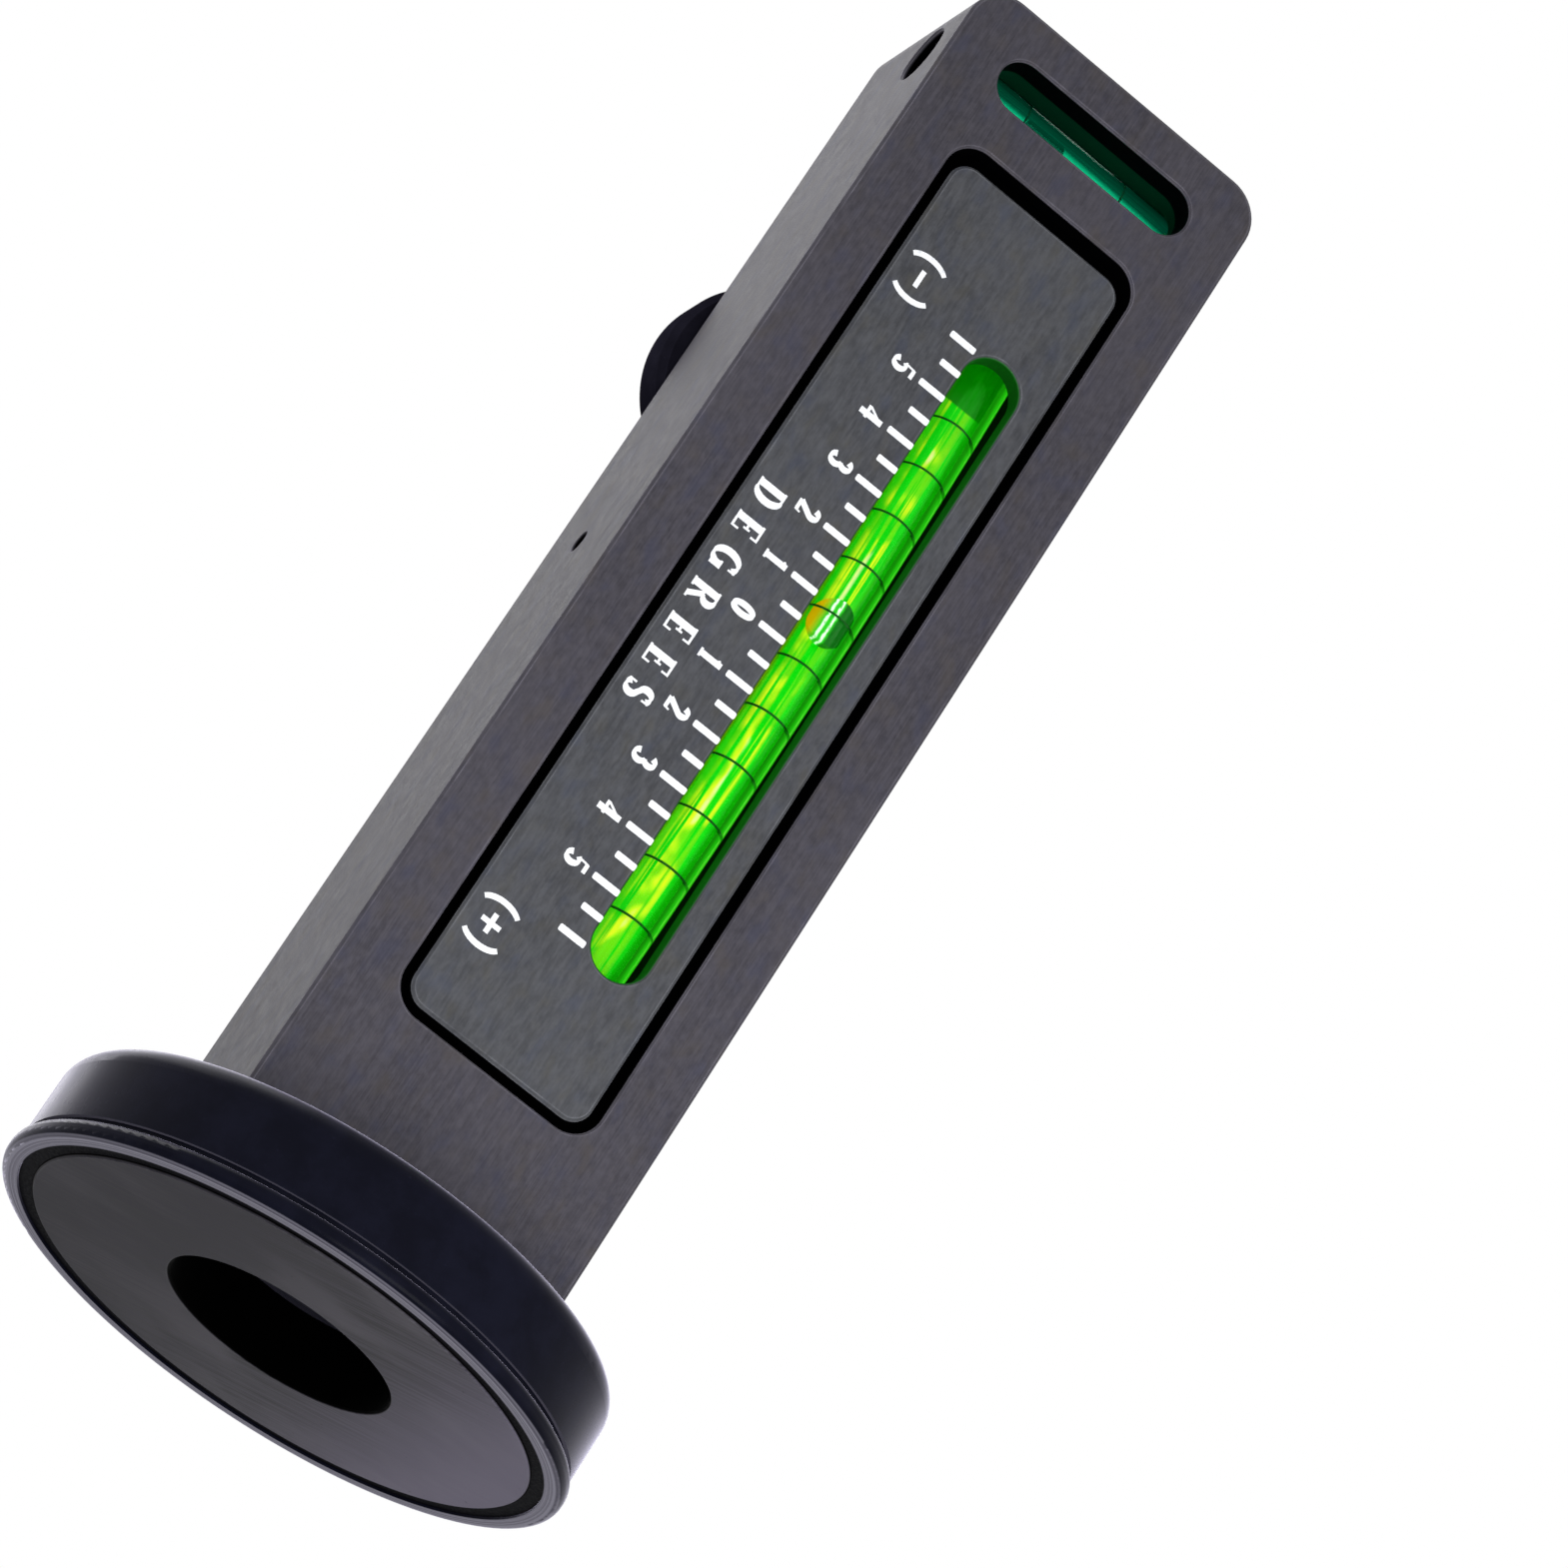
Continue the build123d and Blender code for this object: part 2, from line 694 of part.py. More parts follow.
with BuildPart() as magnet_gap_ring:
    with BuildSketch(Plane.XY.offset(filler_recess)):
        Circle(cup_inner_radius - seat_clearance)
        Circle(magnet_radius + seat_clearance, mode=Mode.SUBTRACT)
    extrude(amount=magnet_height - filler_recess)

with BuildPart() as base_cap:
    with BuildSketch(Plane.XZ) as cap_profile:
        with Locations((0, cap_edge_height)):
            Rectangle(cap_radius, foot_height - cap_edge_height, align=corner)
        fillet(cap_profile.vertices().group_by(Axis.X)[-1].sort_by(Axis.Y)[-1], cap_round)
        with BuildSketch(mode=Mode.PRIVATE) as cup_space:
            Rectangle(cup_radius + seat_clearance, cup_height, align=corner)
            fillet(cup_space.vertices().group_by(Axis.X)[-1].sort_by(Axis.Y)[-1], cup_corner)
        add(cup_space.sketch, mode=Mode.SUBTRACT)
    revolve(axis=Axis.Z)
    add(foot_screw_holes.part, mode=Mode.SUBTRACT)

pieces = {
    "body_block": body_block,
    "camber_plate": camber_plate,
    "camber_plate_screws": camber_plate_screws,
    "camber_vial_tube": camber_vial_tube,
    "camber_vial_plugs": camber_vial_plugs,
    "camber_vial_fluid": camber_vial_fluid,
    "camber_bubble": camber_bubble,
    "camber_vial_bed": camber_vial_bed,
    "level_vial_tube": level_vial_tube,
    "level_vial_plugs": level_vial_plugs,
    "level_vial_fluid": level_vial_fluid,
    "level_bubble": level_bubble,
    "level_bore_plug": level_bore_plug,
    "caster_cradle": caster_cradle,
    "caster_vial_tube": caster_vial_tube,
    "caster_vial_plugs": caster_vial_plugs,
    "caster_vial_fluid": caster_vial_fluid,
    "caster_bubble": caster_bubble,
    "caster_vial_bed": caster_vial_bed,
    "cradle_pin": cradle_pin,
    "cradle_spring": cradle_spring,
    "thumbscrew_knob": thumbscrew_knob,
    "thumbscrew_stem": thumbscrew_stem,
    "thumb_washer": thumb_washer,
    "base_cap": base_cap,
    "magnet_cup": magnet_cup,
    "ring_magnet": ring_magnet,
    "magnet_gap_ring": magnet_gap_ring,
    "base_screws": base_screws,
}
os.makedirs("parts", exist_ok=True)
for name, piece in pieces.items():
    piece.part.label = name
    export_step(piece.part, f"parts/{name}.step")
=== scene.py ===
import json
from math import cos, hypot, pi, radians, sin

import bmesh
import bpy
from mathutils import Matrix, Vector
from mathutils.geometry import delaunay_2d_cdt


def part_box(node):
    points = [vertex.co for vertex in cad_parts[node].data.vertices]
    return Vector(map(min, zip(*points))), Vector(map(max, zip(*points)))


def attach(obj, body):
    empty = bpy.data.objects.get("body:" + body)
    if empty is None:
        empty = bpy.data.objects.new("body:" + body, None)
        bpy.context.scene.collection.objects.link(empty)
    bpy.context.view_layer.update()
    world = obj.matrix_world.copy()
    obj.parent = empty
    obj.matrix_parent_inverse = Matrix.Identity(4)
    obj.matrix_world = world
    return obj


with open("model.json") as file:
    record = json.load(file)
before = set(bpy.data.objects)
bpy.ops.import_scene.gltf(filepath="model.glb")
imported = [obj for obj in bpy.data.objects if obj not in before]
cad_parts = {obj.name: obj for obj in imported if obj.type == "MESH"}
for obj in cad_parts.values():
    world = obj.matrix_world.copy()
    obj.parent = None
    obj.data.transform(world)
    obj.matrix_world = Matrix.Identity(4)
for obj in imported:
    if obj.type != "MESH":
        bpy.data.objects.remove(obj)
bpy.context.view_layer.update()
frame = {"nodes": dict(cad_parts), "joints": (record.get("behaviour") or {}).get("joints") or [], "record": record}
mm = 0.001
joints = {joint["name"]: joint for joint in frame["joints"]}

# The photograph's camera, fitted to the bar's edges and the foot's circles: its place in metres,
# its turn in degrees and its focal length in millimetres
camera_place = (-160.76 * mm, -700.25 * mm, -226.15 * mm)
camera_turn = (117.437, -29.996, -28.532)
camera_lens = 160.06
camera_sensor = 36
camera_range = (0.01, 20)

# Stage, in metres. Each lamp is its place, the point that it faces, its size and its power in watts.
floor_height = -0.78
floor_half_width = 3.0
soft_light = 0.62
lamps = {
    "key": ((-0.75, -0.65, 0.75), (0, 0, 0.09), 0.9, 0.25),
    "front": ((0.04, -0.34, -0.10), (0, 0, 0.03), 0.25, 1.25),
    "side": ((-0.20, 0.10, 0.33), (0, 0, 0.18), 0.25, 0.62),
    "back": ((-0.25, 0.85, 0.55), (0, 0, 0.12), 0.6, 2.2),
}

# Hollows, in millimetres, that get painted shade: black inside, or a dark painted green glow from a vial
rim_depth = 0.45
dial_side_gap = 1.3
dial_low_gap = 1.4
dial_high_gap = 2.3
wall_margin = 0.25
level_slot_half_length = 14.15
level_painted_glow_depth = 1.6
level_hole_radius = 3.7
level_hole_length = 17.5
vial_slot_half_width = 4.0
vial_slot_half_length = 45.0
vial_slot_depth = 4.0
pin_hole_radius = 1.3
pin_rim_depth = 0.11
pin_hole_depth = 2.2

# Foot, in millimetres, with the turn of the magnet's grind in degrees. The lip is bare steel at its edge, painted
# lighter as a highlight.
# The magnet gets painted shade and painted light between places along X, darker to the left and lighter to the
# right, and its face eases into the painted black shade of bore and rim between two distances from their radius.
grind_turn = 34
lip_bare_highlight_height = 0.18
lip_bare_highlight_ease = 0.06
lip_inner_radius = 33.2
lip_inner_ease = 0.15
magnet_bore_radius = 13.9
magnet_bore_shade_edge = (0.35, 0.15)
magnet_rim_shade_edge = (-0.2, -0.05)
magnet_painted_shade_side = (-22, 12)
magnet_painted_light_side = (4, 30)

# Printed marks, in millimetres
print_thickness = 0.04
print_join = 1e-5
tick_width = 0.86
tick_corner = 0.2
degree_tick = (-2.1, 1.5)
half_tick = (-1.3, 1.5)
digit_height = 3.1
digit_line = -6.05
scale_degrees = 5
word_height = 3.7
word_line = -11.1
word_length = 31.2
word_drop = 1.2
letter_gap_share = 0.05
sign_height = 4.2
sign_line = -10.7
top_sign_height = 141.6
low_sign_height = 47.4
pen_thin = 0.13
pen_thick = 0.25

# Vials, in millimetres, with the rings' reach in degrees. The places of the painted glints and
# the painted streaks and the limits of painted shade lie across a vial, from -1 to 1.
tube_wall = 1.0
small_tube_wall = 0.9
level_bore_wall = 1.1
ring_wire = 0.3
ring_sink = 0.25
ring_steps = 48
wire_steps = 8
camber_ring_reach = 5
caster_ring_reach = 4
level_ring_place = 7.3
painted_glint_places = (-0.3, -0.04)
painted_streak_place = -0.12
vial_shade_limits = (0.50, 0.75)
tube_shade_limits = (0.60, 0.80)
level_shade_limits = (0.35, 0.9)
plug_height = 134.6


def make_camera():
    """The camera of the photograph, which looks up at the magnet face from below."""
    data = bpy.data.cameras.new("photo_camera")
    data.sensor_width = camera_sensor
    data.lens = camera_lens
    data.clip_start, data.clip_end = camera_range
    camera = bpy.data.objects.new("photo_camera", data)
    camera.location = camera_place
    camera.rotation_euler = [radians(angle) for angle in camera_turn]
    bpy.context.scene.collection.objects.link(camera)
    bpy.context.scene.camera = camera


def make_lamp(name, place, target, size, power):
    """A square soft lamp that faces a point."""
    data = bpy.data.lights.new(name, "AREA")
    data.size = size
    data.energy = power
    lamp = bpy.data.objects.new(name, data)
    lamp.location = place
    lamp.rotation_euler = (Vector(target) - Vector(place)).to_track_quat("-Z", "Y").to_euler()
    bpy.context.scene.collection.objects.link(lamp)


def make_world():
    """Soft light all round, which the camera, gloss and glass see as plain white."""
    world = bpy.data.worlds.new("studio")
    world.use_nodes = True
    bpy.context.scene.world = world
    tree = world.node_tree
    tree.nodes.clear()
    link = tree.links.new
    path = tree.nodes.new("ShaderNodeLightPath")
    seen = path.outputs["Is Camera Ray"]
    for kind in ("Is Glossy Ray", "Is Transmission Ray"):
        either = tree.nodes.new("ShaderNodeMath")
        either.operation = "MAXIMUM"
        link(seen, either.inputs[0])
        link(path.outputs[kind], either.inputs[1])
        seen = either.outputs[0]
    choose = tree.nodes.new("ShaderNodeMixShader")
    link(seen, choose.inputs[0])
    for strength, socket in ((soft_light, choose.inputs[1]), (1, choose.inputs[2])):
        background = tree.nodes.new("ShaderNodeBackground")
        background.inputs["Color"].default_value = (1, 1, 1, 1)
        background.inputs["Strength"].default_value = strength
        link(background.outputs[0], socket)
    output = tree.nodes.new("ShaderNodeOutputWorld")
    link(choose.outputs[0], output.inputs["Surface"])


class Finish:
    """A material round one Principled shader, with short calls for the nodes that drive it."""

    def __init__(self, name, metallic=0.0, specular=0.5, sockets=None):
        self.material = bpy.data.materials.new(name)
        self.material.use_nodes = True
        self.tree = self.material.node_tree
        self.tree.nodes.clear()
        self.shader = self.add("ShaderNodeBsdfPrincipled")
        self.shader.inputs["Metallic"].default_value = metallic
        self.shader.inputs["Specular IOR Level"].default_value = specular
        for socket, value in (sockets or {}).items():
            self.shader.inputs[socket].default_value = value
        output = self.add("ShaderNodeOutputMaterial")
        self.join(self.shader.outputs[0], output.inputs["Surface"])
        self.place = self.add("ShaderNodeTexCoord").outputs["Object"]

    def add(self, kind, **settings):
        node = self.tree.nodes.new(kind)
        for setting, value in settings.items():
            setattr(node, setting, value)
        return node

    def join(self, source, socket):
        """Links an output to a socket, or sets the socket to a plain value."""
        if isinstance(source, bpy.types.NodeSocket):
            self.tree.links.new(source, socket)
        else:
            socket.default_value = source

    def axis(self, index, centre=0.0, size=1.0):
        """How far along one axis a point lies from a centre, in sizes, all in millimetres."""
        split = self.add("ShaderNodeSeparateXYZ")
        self.join(self.place, split.inputs[0])
        from_centre = self.maths("SUBTRACT", split.outputs[index], centre * mm)
        return self.maths("DIVIDE", from_centre, size * mm)

    def from_foot_axis(self):
        """How far a point lies from the upright axis of the foot, in millimetres."""
        across = self.add("ShaderNodeVectorMath", operation="MULTIPLY")
        self.join(self.place, across.inputs[0])
        across.inputs[1].default_value = (1 / mm, 1 / mm, 0)
        radius = self.add("ShaderNodeVectorMath", operation="LENGTH")
        self.join(across.outputs[0], radius.inputs[0])
        return radius.outputs["Value"]

    def inside(self, box, ease=0.12):
        """A mask of what lies within a box, given by two corners in millimetres."""
        mask = 1.0
        for index, (low, high) in enumerate(zip(*box)):
            value = self.axis(index)
            mask = self.maths("MULTIPLY", mask, self.band(value, low - ease, low + ease))
            mask = self.maths("MULTIPLY", mask, self.band(value, high + ease, high - ease))
        return mask

    def noise(self, sizes, detail=3.0, roughness=0.55, seed=0.0, turn=0.0):
        """Cloudy noise whose patches have about the given sizes along X, Y and Z, in millimetres.
        turn, in degrees, swings those directions round the upright axis."""
        place = self.place
        if turn:
            swing = self.add("ShaderNodeVectorRotate", rotation_type="Z_AXIS")
            self.join(place, swing.inputs["Vector"])
            swing.inputs["Angle"].default_value = radians(turn)
            place = swing.outputs[0]
        scale = self.add("ShaderNodeVectorMath", operation="MULTIPLY")
        self.join(place, scale.inputs[0])
        scale.inputs[1].default_value = [1 / (size * mm) for size in sizes]
        shift = self.add("ShaderNodeVectorMath", operation="ADD")
        self.join(scale.outputs[0], shift.inputs[0])
        shift.inputs[1].default_value = (seed, seed, seed)
        noise = self.add("ShaderNodeTexNoise")
        self.join(shift.outputs[0], noise.inputs["Vector"])
        noise.inputs["Scale"].default_value = 1
        noise.inputs["Detail"].default_value = detail
        noise.inputs["Roughness"].default_value = roughness
        return noise.outputs["Fac"]

    def turned(self, axis_place, size):
        """Fine rings round an upright or level axis, as a lathe leaves them."""
        offset = self.add("ShaderNodeVectorMath", operation="SUBTRACT")
        self.join(self.place, offset.inputs[0])
        offset.inputs[1].default_value = axis_place[0]
        flat = self.add("ShaderNodeVectorMath", operation="MULTIPLY")
        self.join(offset.outputs[0], flat.inputs[0])
        flat.inputs[1].default_value = [1 - abs(part) for part in axis_place[1]]
        radius = self.add("ShaderNodeVectorMath", operation="LENGTH")
        self.join(flat.outputs[0], radius.inputs[0])
        scaled = self.maths("DIVIDE", radius.outputs["Value"], size * mm)
        rings = self.add("ShaderNodeTexNoise", noise_dimensions="1D")
        self.join(scaled, rings.inputs["W"])
        rings.inputs["Scale"].default_value = 1
        rings.inputs["Detail"].default_value = 4
        return rings.outputs["Fac"]

    def maths(self, operation, first, second=0.0):
        node = self.add("ShaderNodeMath", operation=operation)
        self.join(first, node.inputs[0])
        self.join(second, node.inputs[1])
        return node.outputs[0]

    def band(self, value, low, high, out_low=0.0, out_high=1.0):
        """A value eased from one range into another."""
        node = self.add("ShaderNodeMapRange", interpolation_type="SMOOTHSTEP")
        self.join(value, node.inputs["Value"])
        for socket, number in (
            ("From Min", low), ("From Max", high), ("To Min", out_low), ("To Max", out_high)
        ):
            node.inputs[socket].default_value = number
        return node.outputs[0]

    def mix(self, share, first, second):
        """One colour turned into another by a share. Colours are linear (red, green, blue)."""
        node = self.add("ShaderNodeMix", data_type="RGBA")
        self.join(share, node.inputs[0])
        for source, socket in ((first, node.inputs[6]), (second, node.inputs[7])):
            plain = isinstance(source, tuple)
            self.join((*source, 1) if plain else source, socket)
        return node.outputs[2]

    def worn_edges(self, width, amount):
        """A mask of the edges, broken up by noise, where handling has thinned the finish."""
        bevel = self.add("ShaderNodeBevel", samples=6)
        bevel.inputs["Radius"].default_value = width * mm
        geometry = self.add("ShaderNodeNewGeometry")
        likeness = self.add("ShaderNodeVectorMath", operation="DOT_PRODUCT")
        self.join(bevel.outputs[0], likeness.inputs[0])
        self.join(geometry.outputs["True Normal"], likeness.inputs[1])
        edge = self.band(likeness.outputs["Value"], 0.995, 0.90)
        patches = self.band(self.noise((3, 3, 6), 4), 0.35, 0.65, 0.25, 1)
        return self.maths("MULTIPLY", self.maths("MULTIPLY", edge, patches), amount)

    def relief(self, height, depth, strength=1.0, below=None):
        """A bump from a height of 0 to 1, its depth in millimetres."""
        bump = self.add("ShaderNodeBump")
        bump.inputs["Strength"].default_value = strength
        bump.inputs["Distance"].default_value = depth * mm
        self.join(height, bump.inputs["Height"])
        if below:
            self.join(below, bump.inputs["Normal"])
        return bump.outputs[0]

    def finish(self, colour, roughness, normal=None):
        self.join(colour, self.shader.inputs["Base Color"])
        self.join(roughness, self.shader.inputs["Roughness"])
        if normal:
            self.join(normal, self.shader.inputs["Normal"])
        return self.material


def scaled(colour, share):
    """A colour made lighter or darker, with no part above white."""
    return tuple(min(1, part * share) for part in colour)


def anodised(name, tint, grain, painted_hollows):
    """Machined aluminium, anodised dark: grain along the bar, faint mottling with a cool and a warm
    cast and thin pale edges. Each hollow, a box and a colour, gets that colour as painted shade."""
    finish = Finish(name, specular=0.05, sockets={"Specular Tint": (0.92, 0.88, 1.0, 1.0)})
    streaks = finish.noise(grain, 4, 0.65)
    mottle = finish.noise((0.9, 0.9, 1.6), 3, 0.65, 7)
    cast = finish.noise((2.6, 2.6, 4.5), 2, 0.5, 13)
    clouds = finish.noise((16, 16, 34), 2, 0.5, 3)
    tone = finish.maths("ADD", finish.maths("MULTIPLY", streaks, 0.5), finish.maths("MULTIPLY", mottle, 0.5))
    body = finish.mix(finish.band(tone, 0.3, 0.7), scaled(tint, 0.70), scaled(tint, 1.32))
    body = finish.mix(finish.band(clouds, 0.3, 0.75, 0, 0.3), body, scaled(tint, 1.5))
    warm = (tint[0] * 1.25, tint[1] * 1.15, tint[2] * 0.85)
    cool = (tint[0] * 0.85, tint[1] * 0.95, tint[2] * 1.3)
    body = finish.mix(finish.band(cast, 0.52, 0.75, 0, 0.4), body, warm)
    body = finish.mix(finish.band(cast, 0.48, 0.25, 0, 0.4), body, cool)
    body = finish.mix(finish.worn_edges(0.35, 0.75), body, scaled(tint, 4.0))
    # Painted shade: each hollow takes its near-black or dark green colour and is made metallic and rough, so that
    # it shows no reflection
    painted_hollow = 0.0
    colour = body
    for box, painted_hollow_colour in painted_hollows:
        within = finish.inside(box)
        colour = finish.mix(within, colour, painted_hollow_colour)
        painted_hollow = finish.maths("MAXIMUM", painted_hollow, within)
    finish.join(painted_hollow, finish.shader.inputs["Metallic"])
    rough = finish.band(tone, 0.25, 0.75, 0.42, 0.64)
    roughness = finish.maths("MAXIMUM", rough, finish.maths("MULTIPLY", painted_hollow, 0.95))
    fine = finish.relief(streaks, 0.02)
    return finish.finish(colour, roughness, finish.relief(mottle, 0.01, 1, fine))


def plated(name, tint, axis_place, roughness, gloss, bloom, bare_highlight_below=None):
    """Turned and blackened metal: faint lathe rings, dust, pale edges and a grey bloom that shows
    where it turns away. Below a height, in millimetres, its ground edge can be bare steel, painted lighter as a
    highlight."""
    sockets = {"Sheen Weight": bloom, "Sheen Roughness": 0.26, "Sheen Tint": (0.80, 0.76, 1.0, 1.0)}
    finish = Finish(name, specular=gloss, sockets=sockets)
    rings = finish.turned(axis_place, 0.35)
    dust = finish.noise((6, 6, 6), 5, 0.6)
    specks = finish.band(finish.noise((0.5, 0.5, 0.5), 2, 0.5, 5), 0.68, 0.8, 0, 0.35)
    body = finish.mix(finish.band(dust, 0.35, 0.7), tint, scaled(tint, 1.6))
    body = finish.mix(specks, body, scaled(tint, 3))
    colour = finish.mix(finish.worn_edges(0.3, 0.3), body, scaled(tint, 3))
    rough = finish.band(finish.maths("ADD", rings, dust), 0.7, 1.3, roughness - 0.05, roughness + 0.08)
    # Bare steel at the lip's edge, painted lighter as a highlight there
    if bare_highlight_below:
        bare_highlight = finish.band(finish.axis(2), bare_highlight_below + lip_bare_highlight_ease, bare_highlight_below - lip_bare_highlight_ease)
        outside = finish.band(
            finish.from_foot_axis(), lip_inner_radius, lip_inner_radius + lip_inner_ease
        )
        bare_highlight = finish.maths("MULTIPLY", bare_highlight, outside)
        steel = finish.mix(finish.band(rings, 0.3, 0.7), (0.06, 0.057, 0.075), (0.15, 0.145, 0.18))
        colour = finish.mix(bare_highlight, colour, steel)
    return finish.finish(colour, rough, finish.relief(rings, 0.006))


def magnet_finish(name, bore_radius, rim_radius):
    """Ground ferrite: a straight grind aslant across the face and small pits, with painted shade and light across
    the face and painted black shade in bore and rim.
    """
    finish = Finish(name, specular=0.08)
    grind = finish.noise((30, 0.7, 30), 4, 0.7, 0, grind_turn)
    fine = finish.noise((12, 0.2, 12), 3, 0.6, 6, grind_turn)
    tone = finish.maths("ADD", finish.maths("MULTIPLY", grind, 0.6), finish.maths("MULTIPLY", fine, 0.4))
    pits = finish.band(finish.noise((0.9, 0.9, 0.9), 2, 0.5, 9), 0.7, 0.78, 0, 0.5)
    clouds = finish.noise((22, 14, 14), 3, 0.5, 2)
    body = finish.mix(finish.band(tone, 0.38, 0.62), (0.012, 0.011, 0.014), (0.066, 0.062, 0.076))
    body = finish.mix(finish.band(clouds, 0.42, 0.62, 0, 0.55), body, (0.088, 0.082, 0.098))
    # Painted shade on the left of the face and painted light on its right
    body = finish.mix(finish.band(finish.axis(0), *magnet_painted_shade_side, 0.7, 0), body, (0.013, 0.012, 0.017))
    body = finish.mix(finish.band(finish.axis(0), *magnet_painted_light_side, 0, 0.7), body, (0.145, 0.130, 0.185))
    body = finish.mix(pits, body, (0.012, 0.012, 0.014))
    body = finish.mix(finish.worn_edges(0.3, 0.5), body, (0.12, 0.12, 0.13))
    # Painted black shade in the bore and on the rim, made metallic and rough so that it reflects nothing
    radius = finish.from_foot_axis()
    bore = finish.band(radius, *(bore_radius + edge for edge in magnet_bore_shade_edge))
    rim = finish.band(radius, *(rim_radius + edge for edge in magnet_rim_shade_edge))
    sides = finish.maths("MAXIMUM", bore, rim)
    colour = finish.mix(sides, body, (0.001, 0.001, 0.001))
    finish.join(sides, finish.shader.inputs["Metallic"])
    ground = finish.band(tone, 0.3, 0.7, 0.42, 0.6)
    roughness = finish.maths("MAXIMUM", ground, finish.maths("MULTIPLY", sides, 0.95))
    return finish.finish(colour, roughness, finish.relief(tone, 0.012))


def resin_finish(name, tint, gloss=0.15):
    """Cast resin or moulded plastic: matt, with a fine orange-peel skin."""
    finish = Finish(name, specular=gloss)
    skin = finish.noise((0.35, 0.35, 0.35), 3, 0.6)
    clouds = finish.noise((4, 4, 4), 4, 0.6, 4)
    body = finish.mix(finish.band(clouds, 0.3, 0.7), tint, scaled(tint, 1.5))
    colour = finish.mix(finish.worn_edges(0.2, 0.3), body, scaled(tint, 3))
    roughness = finish.band(skin, 0.3, 0.7, 0.5, 0.7)
    return finish.finish(colour, roughness, finish.relief(skin, 0.015))


def steel_finish(name, tint):
    """Bright or blackened steel with drawing marks and light wear."""
    finish = Finish(name, metallic=1.0)
    marks = finish.noise((0.2, 2.5, 0.2), 3, 0.6)
    stains = finish.noise((2, 2, 2), 4, 0.6, 6)
    body = finish.mix(finish.band(stains, 0.3, 0.7), tint, scaled(tint, 1.5))
    colour = finish.mix(finish.worn_edges(0.15, 0.6), body, (0.6, 0.6, 0.62))
    roughness = finish.band(marks, 0.3, 0.7, 0.25, 0.42)
    return finish.finish(colour, roughness, finish.relief(marks, 0.006))


def print_finish(name):
    """White silk-screen ink, a little thinner here and there."""
    finish = Finish(name, specular=0.3)
    thin = finish.noise((0.6, 0.6, 0.6), 4, 0.65)
    colour = finish.mix(finish.band(thin, 0.25, 0.5), (0.66, 0.69, 0.74), (0.90, 0.92, 0.95))
    roughness = finish.band(thin, 0.3, 0.7, 0.45, 0.62)
    return finish.finish(colour, roughness, finish.relief(thin, 0.02))


def tube_finish(name, side, centre, radius, along, colours, shade_limits):
    """Clear moulded acrylic that takes up its fluid's colour, with a faint painted glow of it, emitted and
    streaked along the vial, a painted warm fringe on one side and painted shade on the other, which
    comes in between two limits. side is the axis across the vial, along its own."""
    painted_glow, painted_fringe, edge = colours
    tint = scaled(painted_glow, 1 / max(painted_glow))
    sockets = {
        "Transmission Weight": 1.0,
        "IOR": 1.45,
        "Specular Tint": (*tint, 1),
        "Emission Strength": 1.0,
    }
    finish = Finish(name, sockets=sockets)
    drawn = [0.25, 0.25, 0.25]
    drawn[along] = 20
    lines = finish.noise(drawn, 3, 0.5)
    haze = finish.noise((3, 3, 5), 4, 0.6, 8)
    across = finish.axis(side, centre, radius)
    # Painted glow, emitted, with painted streaks, a painted warm fringe and painted shade across the vial
    painted_glow_colour = finish.mix(finish.band(lines, 0.35, 0.65), scaled(painted_glow, 0.7), scaled(painted_glow, 1.3))
    painted_glow_colour = finish.mix(finish.band(across, -0.84, -0.96), painted_glow_colour, painted_fringe)
    painted_glow_colour = finish.mix(finish.band(across, *shade_limits), painted_glow_colour, edge)
    finish.join(painted_glow_colour, finish.shader.inputs["Emission Color"])
    colour = finish.mix(finish.band(haze, 0.3, 0.7), (0.93, 1.0, 0.93), (0.86, 0.96, 0.86))
    roughness = finish.band(haze, 0.35, 0.75, 0.015, 0.06)
    return finish.finish(colour, roughness, finish.relief(lines, 0.01, 0.5))


def fluid_finish(name, side, centre, radius, along, colours, shade_limits, painted_glow, dark_from=None):
    """Dyed vial fluid with a painted glow: its colour is emitted. Long straight streaks of painted
    reflection and a thin painted glint run along the vial, and painted shade darkens it across between
    two limits. Beyond a place along the vial it can be dark, where the plug begins."""
    base, painted_streak, shade = colours
    finish = Finish(name, specular=0.1, sockets={"Emission Strength": painted_glow})
    layers = []
    for width, length, seed in ((0.75, 60, 11), (0.4, 22, 4), (4.0, 7, 8)):
        sizes = [14, 14, 14]
        sizes[side] = width
        sizes[along] = length
        layers.append(finish.noise(sizes, 2, 0.5, seed))
    across = finish.axis(side, centre, radius)
    middle = finish.maths("ABSOLUTE", finish.maths("SUBTRACT", across, painted_streak_place))
    broad = finish.band(layers[0], 0.43, 0.52)
    thin = finish.band(layers[1], 0.52, 0.62, 0, 0.8)
    patches = finish.band(layers[2], 0.42, 0.54, 0.2, 1)
    # Painted streaks of reflection along the vial
    streaks = finish.maths("MULTIPLY", finish.maths("MAXIMUM", broad, thin), patches)
    streaks = finish.maths("MULTIPLY", streaks, finish.band(middle, 0.70, 0.38, 0.12, 1))
    colour = finish.mix(streaks, base, painted_streak)
    # A thin painted glint along the middle
    painted_glint_line = finish.maths("MULTIPLY", finish.band(middle, 0.13, 0.03), finish.band(layers[2], 0.5, 0.58))
    colour = finish.mix(finish.maths("MULTIPLY", painted_glint_line, 0.8), colour, scaled((1.0, 0.95, 0.45), max(painted_streak)))
    # Painted shade across the vial between two limits
    colour = finish.mix(finish.band(across, *shade_limits), colour, shade)
    if dark_from is not None:
        beyond = finish.band(finish.axis(along, dark_from), -0.15, 0.15)
        colour = finish.mix(beyond, colour, scaled(shade, 0.4))
    finish.join(colour, finish.shader.inputs["Emission Color"])
    roughness = finish.band(thin, 0, 1, 0.25, 0.4)
    return finish.finish(colour, roughness, finish.relief(layers[1], 0.03, 0.5))


